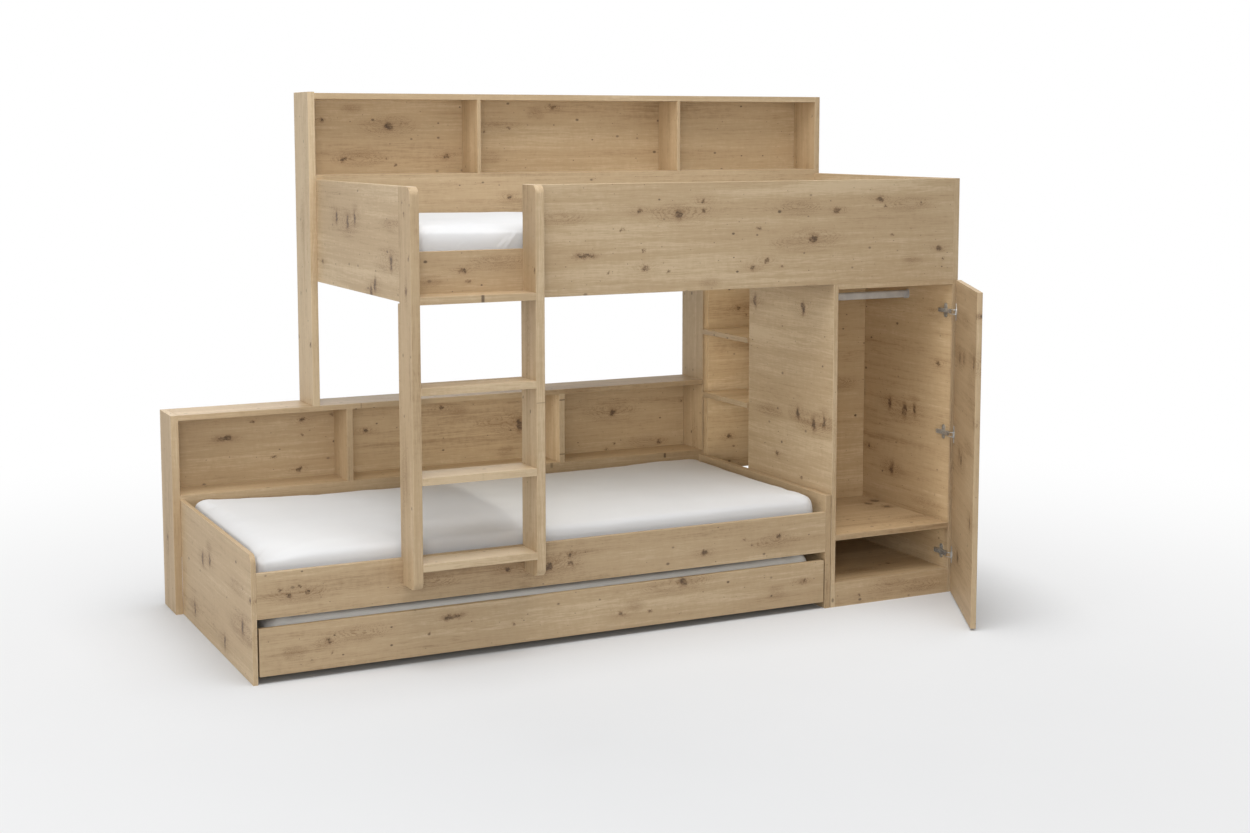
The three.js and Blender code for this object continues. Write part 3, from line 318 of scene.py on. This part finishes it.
class Graph:
    """Short ways to add and join the nodes of a node tree."""

    def __init__(self, tree):
        self.tree = tree
        self.nodes = tree.nodes

    def node(self, kind, inputs=None, **settings):
        made = self.nodes.new(kind)
        for name, value in settings.items():
            setattr(made, name, value)
        for name, value in (inputs or {}).items():
            self.put(made.inputs[name], value)
        return made

    def put(self, socket, value):
        if isinstance(value, bpy.types.NodeSocket):
            self.tree.links.new(value, socket)
        else:
            socket.default_value = value

    def math(self, operation, a, b=0.0):
        return self.node("ShaderNodeMath", {0: a, 1: b}, operation=operation).outputs[0]

    def vector(self, operation, a, b=(0.0, 0.0, 0.0)):
        made = self.node("ShaderNodeVectorMath", {0: a, 1: b}, operation=operation)
        return made.outputs["Value" if operation == "LENGTH" else "Vector"]

    def split(self, vector):
        return self.node("ShaderNodeSeparateXYZ", {0: vector}).outputs

    def ramp(self, value, low, high, to_low=0.0, to_high=1.0):
        inputs = {"Value": value, "From Min": low, "From Max": high, "To Min": to_low, "To Max": to_high}
        return self.node("ShaderNodeMapRange", inputs, interpolation_type="SMOOTHSTEP").outputs[0]

    def mix(self, factor, a, b):
        """A blend of two colours, each of them a socket or red, green and blue."""
        made = self.node("ShaderNodeMix", data_type="RGBA")
        for index, value in ((0, factor), (6, a), (7, b)):
            self.put(made.inputs[index], (*value, 1.0) if isinstance(value, tuple) else value)
        return made.outputs[2]

    def noise(self, at, stretch, detail=2.0, roughness=0.5, distortion=0.0):
        """Noise with about as many features to a metre along each axis as stretch says."""
        inputs = {"Vector": self.vector("MULTIPLY", at, stretch), "Scale": 1.0, "Detail": detail,
                  "Roughness": roughness, "Distortion": distortion}
        return self.node("ShaderNodeTexNoise", inputs).outputs[0]


class Surface(Graph):
    """The graph of a new material, with its shader and the object's place and normal."""

    def __init__(self, name):
        self.material = bpy.data.materials.new(name)
        self.material.use_nodes = True
        super().__init__(self.material.node_tree)
        self.shader = self.nodes["Principled BSDF"]
        coordinates = self.node("ShaderNodeTexCoord").outputs
        self.place = coordinates["Object"]
        self.normal = coordinates["Normal"]

    def finish(self, colour, roughness, height, bump_strength, bump_depth, others=None):
        """Joins the colour, the roughness and a bump to the shader and returns the material."""
        bump_inputs = {"Height": height, "Strength": bump_strength, "Distance": bump_depth}
        normal = self.node("ShaderNodeBump", bump_inputs).outputs[0]
        inputs = {"Base Color": colour, "Roughness": roughness, "Normal": normal}
        for name, value in {**inputs, **(others or {})}.items():
            self.put(self.shader.inputs[name], value)
        return self.material


def growth_lines(g, at, near):
    """Lines of a field that rises across the board, bends in waves and closes into rings at the knots."""
    split = g.split(at)
    slope = g.math("MULTIPLY", g.math("ADD", split[1], split[2]), LINES_PER_METRE)
    swing = g.math("MULTIPLY", g.noise(at, (0.9, 6.0, 6.0), detail=3.0, distortion=0.4), LINE_SWING)
    wobble = g.math("MULTIPLY", g.noise(at, (14.0, 80.0, 80.0), detail=3.0), LINE_WOBBLE)
    rings = g.math("MULTIPLY", near, KNOT_RINGS)
    field = g.math("ADD", g.math("ADD", slope, swing), g.math("ADD", wobble, rings))
    wave = g.math("SINE", g.math("MULTIPLY", field, 2.0 * math.pi))
    lines = g.math("POWER", g.ramp(wave, -0.2, 1.0), 2.0)
    patch = g.ramp(g.noise(at, (1.7, 9.0, 9.0), detail=2.0), 0.42, 0.66, 0.10, 0.45)
    shown = g.math("MAXIMUM", patch, g.ramp(near, 0.05, 0.6))
    broken = g.ramp(g.noise(at, (20.0, 200.0, 200.0), detail=2.0), 0.3, 0.6, 0.45, 1.0)
    return g.math("MULTIPLY", g.math("MULTIPLY", lines, shown), broken)


def dark_knots(g, at, core):
    """How dark a place is: the cores of the placed knots, and pin knots all over the boards."""
    ragged = g.math("SUBTRACT", g.noise(at, (330.0, 420.0, 420.0), detail=3.0, roughness=0.7), 0.5)
    patchy = g.ramp(g.noise(at, (75.0, 120.0, 120.0), detail=2.0), 0.36, 0.56, 0.34, 1.0)
    dark = g.math("MULTIPLY", g.math("MULTIPLY", core, patchy), g.ramp(ragged, -0.20, 0.10, 0.6, 1.0))
    for cells, empty, least, spread in PIN_LAYERS:
        pins = g.node(
            "ShaderNodeTexVoronoi", {"Vector": g.vector("MULTIPLY", at, cells), "Scale": 1.0},
            voronoi_dimensions="2D", feature="F1")
        dice = g.node("ShaderNodeSeparateColor", {0: pins.outputs["Color"]}).outputs
        radius = g.math("ADD", g.math("MULTIPLY", g.math("POWER", dice[1], 3.0), spread), least)
        away = g.math("DIVIDE", pins.outputs["Distance"], radius)
        away = g.math("ADD", away, g.math("MULTIPLY", ragged, 0.8))
        pin = g.math("MULTIPLY", g.math("GREATER_THAN", dice[0], empty), g.ramp(away, 0.6, 1.5, 1.0, 0.0))
        dark = g.math("MAXIMUM", dark, g.math("MULTIPLY", pin, g.ramp(dice[2], 0.0, 1.0, 0.45, 0.85)))
    return dark


def oak_group():
    """The decor itself. Its vector is in metres: along the grain, across it and through the board. Core, Halo
    and Figure say how much a place belongs to a knot's dark core, to the brown wood at it and to the curly
    wood round it. The last input is painted light and shade: it makes a whole board lighter or darker."""
    tree = bpy.data.node_groups.new("oak_decor", "ShaderNodeTree")
    for name, kind, way in (
        ("Vector", "NodeSocketVector", "INPUT"), ("Core", "NodeSocketFloat", "INPUT"),
        ("Figure", "NodeSocketFloat", "INPUT"), ("Halo", "NodeSocketFloat", "INPUT"),
        ("PaintedLight", "NodeSocketFloat", "INPUT"), ("Color", "NodeSocketColor", "OUTPUT"),
        ("Roughness", "NodeSocketFloat", "OUTPUT"), ("Height", "NodeSocketFloat", "OUTPUT"),
    ):
        tree.interface.new_socket(name=name, in_out=way, socket_type=kind)
    g = Graph(tree)
    given = g.node("NodeGroupInput").outputs
    at = given["Vector"]
    near = given["Figure"]

    lines = growth_lines(g, at, near)
    pores = g.ramp(g.noise(at, (55.0, 800.0, 800.0), detail=1.0), 0.60, 0.74)
    layers = {}
    # Painted light and shade: the whole board starts lighter or darker by the amount given for it
    lightness = g.math("ADD", given["PaintedLight"], 0.5)
    for name, (stretch, detail, roughness, strength) in GRAIN_LAYERS.items():
        layers[name] = g.noise(at, stretch, detail, roughness)
        change = g.math("MULTIPLY", g.math("SUBTRACT", layers[name], 0.5), strength)
        lightness = g.math("ADD", lightness, change)
    lightness = g.math("SUBTRACT", lightness, g.math("MULTIPLY", lines, g.ramp(near, 0.0, 0.8, 0.42, 0.64)))
    lightness = g.math("SUBTRACT", lightness, g.math("MULTIPLY", pores, 0.14))
    colour = g.mix(g.ramp(lightness, -0.3, 0.5), OAK_DARK, OAK_MIDDLE)
    colour = g.mix(g.ramp(lightness, 0.5, 1.1), colour, OAK_LIGHT)

    flecks = layers["flecks"]
    stain = g.math("MULTIPLY", g.math("POWER", near, 1.4), g.ramp(layers["streaks"], 0.25, 0.75, 0.8, 0.3))
    stain = g.math("MULTIPLY", stain, g.ramp(flecks, 0.36, 0.62, 0.30, 0.66))
    stain = g.math("MAXIMUM", stain, g.math("MULTIPLY", given["Halo"], g.ramp(flecks, 0.3, 0.7, 0.60, 0.92)))
    colour = g.mix(stain, colour, FIGURE_COLOUR)
    colour = g.mix(dark_knots(g, at, given["Core"]), colour, KNOT_COLOUR)

    fibres = layers["fibres"]
    rough = g.math("ADD", g.math("MULTIPLY", fibres, 0.16), 0.46)
    grooves = g.math("ADD", pores, g.math("MULTIPLY", lines, 0.4))
    height = g.math("SUBTRACT", g.math("MULTIPLY", fibres, 0.7), grooves)
    done = g.node("NodeGroupOutput")
    for name, value in (("Color", colour), ("Roughness", rough), ("Height", height)):
        g.put(done.inputs[name], value)


def knot_marks(g, at, knots, grain):
    """How much a place belongs to a dark core, to the halo at one and to the figure round one: 0 to 1."""
    bent = at
    for scale, detail, roughness, reach in KNOT_BENDS:
        inputs = {"Vector": at, "Scale": scale, "Detail": detail, "Roughness": roughness}
        bend = g.vector("SUBTRACT", g.node("ShaderNodeTexNoise", inputs).outputs["Color"], (0.5, 0.5, 0.5))
        bent = g.vector("ADD", bent, g.vector("MULTIPLY", bend, reach))

    def distance(offset, long, wide):
        """1 on the ellipse with these half axes, 0 in its middle."""
        return g.vector("LENGTH", g.vector("MULTIPLY", offset, (1 / (long * MM), 1 / (wide * MM), 0.0)))

    core, halo, figure = 0.0, 0.0, 0.0
    for kind, along, across in knots:
        place = {grain[0]: along, grain[1]: across, grain[2]: 0.0}
        moved = Vector((place["X"], place["Y"], place["Z"])) * MM + LAYOUT_AT
        centre = (moved["XYZ".index(grain[0])], moved["XYZ".index(grain[1])], 0.0)
        offset = g.vector("SUBTRACT", bent, centre)
        dark, curly = KNOTS[kind]
        amount = g.ramp(distance(offset, *curly[:2]), 0.0, 2.0, curly[2], 0.0)
        figure = g.node("ShaderNodeMath", {0: figure, 1: amount, 2: 0.08}, operation="SMOOTH_MAX").outputs[0]
        if dark:
            away = distance(offset, *dark[:2])
            core = g.math("MAXIMUM", core, g.ramp(away, 0.95, 1.25, dark[2], 0.0))
            halo = g.math("MAXIMUM", halo, g.ramp(away, 0.8, 2.7, dark[2], 0.0))
    return core, halo, figure


def board_box(name):
    """The board's own box, without what stands on its inner face."""
    low, high = (Vector(corner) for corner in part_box(name))
    if name in BOARD_FACES:
        low.y, high.y = (y * MM + LAYOUT_AT.y for y in BOARD_FACES[name])
    return low, high


def edge_highlight_lines(g, at, name):
    """A painted highlight: 1 on the narrow rounded edges of a board, where they would catch light, 0
    elsewhere. On a face the distance to the nearest edge is the middle one of the distances to the three
    pairs of faces."""
    low, high = board_box(name)
    middle, half = (low + high) / 2, (high - low) / 2
    inside = g.vector("SUBTRACT", half, g.vector("ABSOLUTE", g.vector("SUBTRACT", at, middle)))
    away = g.split(inside)
    smaller = g.math("MINIMUM", away[0], away[1])
    larger = g.math("MAXIMUM", away[0], away[1])
    nearest_edge = g.math("MAXIMUM", smaller, g.math("MINIMUM", larger, away[2]))
    return g.ramp(nearest_edge, 0.3 * EDGE_HIGHLIGHT_WIDTH, EDGE_HIGHLIGHT_WIDTH, 1.0, 0.0)


def closed_door(g):
    """The place and the normal on the door as they are when it is closed."""
    turned = []
    for vector, centre in ((g.place, DOOR_AXIS), (g.normal, (0.0, 0.0, 0.0))):
        inputs = {"Vector": vector, "Center": centre, "Angle": DOOR_TURN}
        turned.append(g.node("ShaderNodeVectorRotate", inputs, rotation_type="Z_AXIS").outputs[0])
    return turned


def board_material(name, grain, seed):
    """Oak decor along the board's own grain. On a face across the grain the edging runs its grain along the
    edge, as an edge band does."""
    g = Surface("oak_" + name)
    place, normal = closed_door(g) if name == "wardrobe_door" else (g.place, g.normal)
    split, facing = g.split(place), g.split(normal)
    order = ["XYZ".index(axis) for axis in grain]
    at = g.node("ShaderNodeCombineXYZ", {i: split[axis] for i, axis in enumerate(order)}).outputs[0]
    edge_order = order[1:] + order[:1]
    edge_at = g.node("ShaderNodeCombineXYZ", {i: split[axis] for i, axis in enumerate(edge_order)}).outputs[0]
    on_edge = g.math("GREATER_THAN", g.math("ABSOLUTE", facing[order[0]]), 0.7)
    decor_at = g.node("ShaderNodeMix", data_type="VECTOR")
    for index, value in ((0, on_edge), (4, at), (5, edge_at)):
        g.put(decor_at.inputs[index], value)
    shifted = g.vector("ADD", decor_at.outputs[1], BOARD_SHIFT * seed)
    core, halo, figure = knot_marks(g, at, BOARD_KNOTS.get(name, []), grain)
    # Painted light and shade: how much lighter or darker this board is made for the light that falls on it
    tone = BOARD_PAINTED_LIGHT.get(name, 0.0)
    inputs = {"Vector": shifted, "Core": core, "Halo": halo, "Figure": figure, "PaintedLight": tone}
    decor = g.node("ShaderNodeGroup", node_tree=bpy.data.node_groups["oak_decor"])
    for socket, value in inputs.items():
        g.put(decor.inputs[socket], value)
    colour = decor.outputs["Color"]
    # Painted highlight: the edges are mixed towards a lighter colour, where they would catch light
    if name != "wardrobe_door":
        colour = g.mix(g.math("MULTIPLY", edge_highlight_lines(g, place, name), EDGE_HIGHLIGHT_SHOWN), colour, EDGE_HIGHLIGHT_COLOUR)
    if name in BOARD_FACES:
        colour = rail_fittings(g, name, colour)
    return g.finish(
        colour, decor.outputs["Roughness"], decor.outputs["Height"], 0.12, 0.0004,
        {"Specular IOR Level": 0.35})


def rail_fittings(g, name, colour):
    """Bare wood on the ledge behind a rail and dark plastic on the castor housings under it."""
    split = g.split(g.place)
    low, high = board_box(name)
    middle, half = (low.y + high.y) / 2, (high.y - low.y) / 2
    aside = g.math("ABSOLUTE", g.math("SUBTRACT", split[1], middle))
    behind = g.math("GREATER_THAN", aside, half + 0.2 * MM)
    grain = g.noise(g.place, (6.0, 240.0, 240.0), detail=3.0, roughness=0.6)
    colour = g.mix(behind, colour, g.mix(grain, *LEDGE_WOOD))
    if name.startswith("trundle"):
        housing = g.math("MULTIPLY", behind, g.math("LESS_THAN", split[2], HOUSING_TOP * MM))
        speck = g.noise(g.place, (700.0, 700.0, 700.0))
        colour = g.mix(housing, colour, g.mix(speck, *HOUSING_PLASTIC))
    return colour


def birch_material():
    g = Surface("birch_slats")
    grain = g.noise(g.place, (160.0, 5.0, 160.0), detail=3.0, roughness=0.6)
    plies = g.math("SINE", g.math("MULTIPLY", g.split(g.place)[2], 2.0 * math.pi / PLY_PITCH))
    tone = g.math("ADD", g.math("MULTIPLY", grain, 0.8), g.math("MULTIPLY", plies, 0.08))
    colour = g.mix(g.ramp(tone, 0.2, 0.75), *BIRCH)
    return g.finish(colour, g.math("ADD", g.math("MULTIPLY", grain, 0.2), 0.5), grain, 0.2, 0.0005)


def sheet_material():
    """White cotton: a plain weave, a soft unevenness and a faint sheen."""
    g = Surface("cotton_sheet")
    turns = 2.0 * math.pi / THREAD_PITCH
    threads = [g.math("SINE", g.math("MULTIPLY", along, turns)) for along in g.split(g.place)]
    weave = g.math("ADD", g.math("MULTIPLY", threads[0], threads[1]), g.math("MULTIPLY", threads[2], 0.5))
    slub = g.noise(g.place, (260.0, 40.0, 260.0), detail=3.0, roughness=0.65)
    clouds = g.noise(g.place, (4.0, 5.0, 9.0), detail=4.0, roughness=0.55)
    colour = g.mix(g.math("MULTIPLY", slub, 0.10), g.mix(clouds, *COTTON), COTTON_SLUB)
    roughness = g.math("ADD", g.math("MULTIPLY", slub, 0.12), 0.80)
    height = g.math("ADD", g.math("MULTIPLY", weave, 0.25), slub)
    return g.finish(
        colour, roughness, height, 0.25, 0.0003,
        {"Specular IOR Level": 0.2, "Sheen Weight": 0.12, "Sheen Roughness": 0.5})


def metal_material(name, colours, roughness, brushed, metallic):
    g = Surface(name)
    lines = g.noise(g.place, brushed, detail=3.0, roughness=0.7)
    smudges = g.noise(g.place, (25.0, 25.0, 25.0), detail=3.0)
    colour = g.mix(g.ramp(smudges, 0.3, 0.7), *colours)
    uneven = g.math("ADD", g.math("MULTIPLY", lines, 0.22), roughness)
    return g.finish(colour, uneven, lines, 0.15, 0.0002, {"Metallic": metallic})


def plastic_material():
    g = Surface("moulded_plastic")
    grain = g.noise(g.place, (900.0, 900.0, 900.0))
    scuffs = g.ramp(g.noise(g.place, (40.0, 90.0, 90.0), detail=4.0, roughness=0.7), 0.55, 0.75)
    colour = g.mix(scuffs, *WHEEL_PLASTIC)
    return g.finish(colour, g.math("ADD", g.math("MULTIPLY", grain, 0.2), 0.42), grain, 0.2, 0.0002)


def give(node, material):
    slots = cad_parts[node].data.materials
    if slots:
        for i in range(len(slots)):
            slots[i] = material
    else:
        slots.append(material)


def dress_frame():
    oak_group()
    seed = 0
    for grain, names in BOARD_GRAIN.items():
        for name in names:
            seed += 1
            give(name, board_material(name, grain, seed))
    birch = birch_material()
    steel = metal_material("nickel_steel", STEEL, 0.28, (300.0, 300.0, 30.0), 0.75)
    rail = metal_material("satin_aluminium", ALUMINIUM, 0.34, (20.0, 700.0, 700.0), 0.55)
    plastic = plastic_material()
    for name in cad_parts:
        if name.endswith("slat_base"):
            give(name, birch)
        if name.startswith("hinge_"):
            give(name, steel)
        if name == "clothes_rail":
            give(name, rail)
        if "wheel" in name:
            give(name, plastic)


def remeshed_copy(node, name):
    """A copy of a CAD solid, drawn in a little, with an even mesh for the cloth."""
    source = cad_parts[node]
    made = bpy.data.objects.new(name, source.data.copy())
    bpy.context.scene.collection.objects.link(made)
    low, high = (Vector(corner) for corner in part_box(node))
    middle, half = (low + high) / 2, (high - low) / 2
    shrink = [(half[i] - CLOTH_START) / half[i] for i in range(3)]
    made.data.transform(
        Matrix.Translation(middle) @ Matrix.Diagonal((*shrink, 1.0)) @ Matrix.Translation(-middle))
    remesh = made.modifiers.new("even", "REMESH")
    remesh.mode = "VOXEL"
    remesh.voxel_size = VOXEL
    remesh.use_smooth_shade = True
    bake_modifiers(made)
    return made, low, high


def bake_modifiers(piece):
    """Applies what the modifiers give at the present frame."""
    depsgraph = bpy.context.evaluated_depsgraph_get()
    result = bpy.data.meshes.new_from_object(piece.evaluated_get(depsgraph), depsgraph=depsgraph)
    piece.modifiers.clear()
    old = piece.data
    piece.data = result
    bpy.data.meshes.remove(old)


def coordinates(mesh):
    flat = np.empty(len(mesh.vertices) * 3)
    mesh.vertices.foreach_get("co", flat)
    return flat.reshape(-1, 3)


def set_coordinates(mesh, points):
    mesh.vertices.foreach_set("co", points.astype(np.float32).ravel())
    mesh.update()


def swell(piece, bottom):
    """Blows the cover up like a made-up pad: extra cloth, pressure inside, its underside held."""
    start = coordinates(piece.data)
    held = piece.vertex_groups.new(name="held")
    held.add([i for i, z in enumerate(start[:, 2]) if z < bottom + HELD_HEIGHT], 1.0, "REPLACE")
    cloth = piece.modifiers.new("cloth", "CLOTH")
    cloth.settings.vertex_group_mass = "held"
    cloth.settings.use_pressure = True
    cloth.settings.uniform_pressure_force = CLOTH_PRESSURE
    cloth.settings.shrink_min = -CLOTH_EXTRA
    cloth.settings.tension_stiffness = 12
    cloth.settings.bending_stiffness = 0.4
    cloth.settings.effector_weights.gravity = 0.0
    cloth.collision_settings.use_collision = False
    for step in range(1, CLOTH_FRAMES + 1):
        bpy.context.scene.frame_set(step)
    bake_modifiers(piece)
    bpy.context.scene.frame_set(1)
    moved = coordinates(piece.data) - start
    length = np.linalg.norm(moved, axis=1, keepdims=True)
    share = CLOTH_CAP * np.tanh(length / CLOTH_CAP) / np.maximum(length, 1e-9)
    set_coordinates(piece.data, start + moved * share)


def waves(points, scale, seed):
    """Smooth noise between -1 and 1 at points in plan."""
    return np.array([noise.noise((x * scale[0] + seed, y * scale[1] - seed, seed)) for x, y in points[:, :2]])


def hump(points, centre, radius):
    """A smooth hump that is 1 at a place in plan, given in the layout of the boards."""
    away = (points[:, :2] - (np.array(centre) * MM + np.array(LAYOUT_AT[:2]))) / (np.array(radius) * MM)
    return np.exp(-(away ** 2).sum(axis=1))


def crease(points, start, end, width, height, front):
    """How far a crease moves points: a ridge with a shallow groove beside it on the front side."""
    left = np.array((LAYOUT_AT.x, 0.0))
    a, b = np.array(start) * MM + left, np.array(end) * MM + left
    length = np.linalg.norm(b - a)
    along = (b - a) / length
    flat = points[:, [0, 2]] - a
    travelled = flat @ along
    aside = flat @ np.array((-along[1], along[0])) / (width * MM)
    fade = np.clip(np.minimum(travelled, length - travelled) / (0.25 * length) + 0.5, 0.0, 1.0)
    near_front = np.exp(-(((points[:, 1] - front) / CREASE_REACH) ** 2))
    profile = np.exp(-(aside ** 2)) - 0.6 * np.exp(-((aside - 1.6) ** 2))
    push = np.zeros_like(points)
    push[:, 1] = -height * MM * fade * near_front * profile
    return push


def mattress(node, name, seed, dips, creases):
    """A cover in place of a mattress solid: swollen cloth, waves and dips on top, creases in front."""
    piece, low, high = remeshed_copy(node, name)
    swell(piece, low.z)
    points = coordinates(piece.data)
    top = np.clip((points[:, 2] - (low.z + high.z) / 2) / ((high.z - low.z) / 2), 0.0, 1.0) ** 2
    for scale, height, more in TOP_WAVES:
        points[:, 2] += top * height * waves(points, scale, seed + more)
    edge = np.minimum(np.abs(points[:, 1] - low.y), np.abs(points[:, 1] - high.y))
    scale, height, more = EDGE_WAVES
    points[:, 2] += top * np.exp(-((edge / EDGE_REACH) ** 2)) * height * waves(points, scale, seed + more)
    for centre, radius, depth in dips:
        points[:, 2] -= top * depth * MM * hump(points, centre, radius)
    set_coordinates(piece.data, points)

    subdivide = piece.modifiers.new("fine", "SUBSURF")
    subdivide.levels = subdivide.render_levels = 1
    bake_modifiers(piece)
    points = coordinates(piece.data)
    for start, end, width, height in creases:
        points += crease(points, start, end, width, height, low.y)
    points[:, 0] = np.clip(points[:, 0], low.x - SIDE_ROOM, high.x + SIDE_ROOM)
    points[:, 1] = np.clip(points[:, 1], low.y - SIDE_ROOM, high.y + SIDE_ROOM)
    points[:, 2] = np.maximum(points[:, 2], low.z)
    set_coordinates(piece.data, points)
    piece.data.shade_smooth()
    piece.data.materials.clear()
    piece.data.materials.append(bpy.data.materials["cotton_sheet"])
    return piece


def bedding():
    sheet_material()
    covers = [
        (mattress(node, node + "_cover", seed, dips, creases), node, body)
        for node, (body, seed, dips, creases) in MATTRESSES.items()]
    for piece, node, body in covers:
        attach(piece, body)
        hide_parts(node)


def camera():
    data = bpy.data.cameras.new("photo_camera")
    data.lens = CAMERA_LENS
    data.sensor_width = CAMERA_SENSOR
    data.shift_x, data.shift_y = CAMERA_SHIFT
    data.clip_start, data.clip_end = CAMERA_CLIP
    forward = Vector((
        math.sin(CAMERA_YAW) * math.cos(CAMERA_PITCH),
        math.cos(CAMERA_YAW) * math.cos(CAMERA_PITCH),
        -math.sin(CAMERA_PITCH)))
    level_right = Vector((math.cos(CAMERA_YAW), -math.sin(CAMERA_YAW), 0.0))
    level_up = level_right.cross(forward)
    right = level_right * math.cos(CAMERA_ROLL) + level_up * math.sin(CAMERA_ROLL)
    up = level_up * math.cos(CAMERA_ROLL) - level_right * math.sin(CAMERA_ROLL)
    turned = Matrix((right, up, -forward)).transposed().to_4x4()
    made = bpy.data.objects.new("photo_camera", data)
    made.matrix_world = Matrix.Translation(CAMERA_AT) @ turned
    bpy.context.scene.collection.objects.link(made)
    bpy.context.scene.camera = made


def area_lamp(name, shape, at, way):
    """A lamp that shines along way and isn't seen itself."""
    data = bpy.data.lights.new(name, "AREA")
    data.shape = shape
    made = bpy.data.objects.new(name, data)
    made.location = at
    made.rotation_euler = way.to_track_quat("-Z", "Y").to_euler()
    made.visible_camera = False
    bpy.context.scene.collection.objects.link(made)
    return made


def soft_lamp(name, at, size, power):
    made = area_lamp(name, "DISK", at, LAMP_AIM - Vector(at))
    made.data.size = size
    made.data.energy = power


def recess_lamp(name, low, high, facing, radiance):
    low, high = (Vector(corner) * MM + LAYOUT_AT for corner in (low, high))
    size = high - low
    made = area_lamp(name, "RECTANGLE", (low + high) / 2, Vector(facing))
    made.visible_glossy = False
    data = made.data
    data.size, data.size_y = (size.x + size.y, size.z) if size.z > 0.0 else (size.x, size.y)
    data.color = RECESS_COLOUR
    data.energy = math.pi * data.size * data.size_y * radiance
    data.spread = RECESS_SPREADS.get(name, math.pi)


def seen_directly(g):
    """1 for rays that come from the camera or from a reflection or a transparent surface, 0 for light."""
    path = g.node("ShaderNodeLightPath").outputs
    shown = g.math("MAXIMUM", path["Is Camera Ray"], path["Is Glossy Ray"])
    return g.math("MAXIMUM", shown, path["Is Transmission Ray"])


def surroundings():
    """A white background that lights the scene faintly and evenly."""
    world = bpy.data.worlds.new("studio")
    world.use_nodes = True
    bpy.context.scene.world = world
    g = Graph(world.node_tree)
    ambient = g.nodes["Background"]
    ambient.inputs["Color"].default_value = WHITE
    ambient.inputs["Strength"].default_value = AMBIENT
    white = g.node("ShaderNodeBackground", {"Color": WHITE, "Strength": 1.0})
    mixed = g.node("ShaderNodeMixShader", {0: seen_directly(g), 1: ambient.outputs[0], 2: white.outputs[0]})
    g.put(g.nodes["World Output"].inputs["Surface"], mixed.outputs[0])


def floor_material():
    """Pale matt paint that keeps the shadows near the beds and turns into plain white far from them. Ambient
    occlusion holds the white back near and under things, which adds a painted shade there.
    """
    g = Surface("studio_floor")
    g.nodes.remove(g.shader)
    paint = g.mix(g.noise(g.place, (3.0, 3.0, 3.0), detail=3.0), FLOOR_DARK, FLOOR_LIGHT)
    matt = g.node("ShaderNodeBsdfDiffuse", {"Color": paint})
    glow = g.node("ShaderNodeEmission", {"Color": WHITE, "Strength": 1.0})
    away = g.vector("LENGTH", g.vector("SUBTRACT", g.place, GLOW_FROM))
    # Painted shade: ambient occlusion holds the white glow back near and under things
    open_sky = g.node("ShaderNodeAmbientOcclusion", {"Distance": CONTACT_REACH}, samples=8).outputs["AO"]
    far = g.math("MULTIPLY", g.ramp(away, *GLOW_REACH), g.math("POWER", open_sky, 2.0))
    far = g.math("MULTIPLY", far, seen_directly(g))
    mixed = g.node("ShaderNodeMixShader", {0: far, 1: matt.outputs[0], 2: glow.outputs[0]})
    g.put(g.nodes["Material Output"].inputs["Surface"], mixed.outputs[0])
    return g.material


def studio():
    surroundings()
    for name, lamp in LAMPS.items():
        soft_lamp(name, *lamp)
    for name, lamp in RECESS_LAMPS.items():
        recess_lamp(name, *lamp)
    mesh = bpy.data.meshes.new("studio_floor")
    corners = [(x * FLOOR_HALF, y * FLOOR_HALF, 0) for x, y in ((-1, -1), (1, -1), (1, 1), (-1, 1))]
    mesh.from_pydata(corners, [], [(0, 1, 2, 3)])
    mesh.materials.append(floor_material())
    floor = bpy.data.objects.new("studio_floor", mesh)
    bpy.context.scene.collection.objects.link(floor)


camera()
studio()
dress_frame()
bedding()
bpy.context.scene.view_settings.view_transform = "Standard"
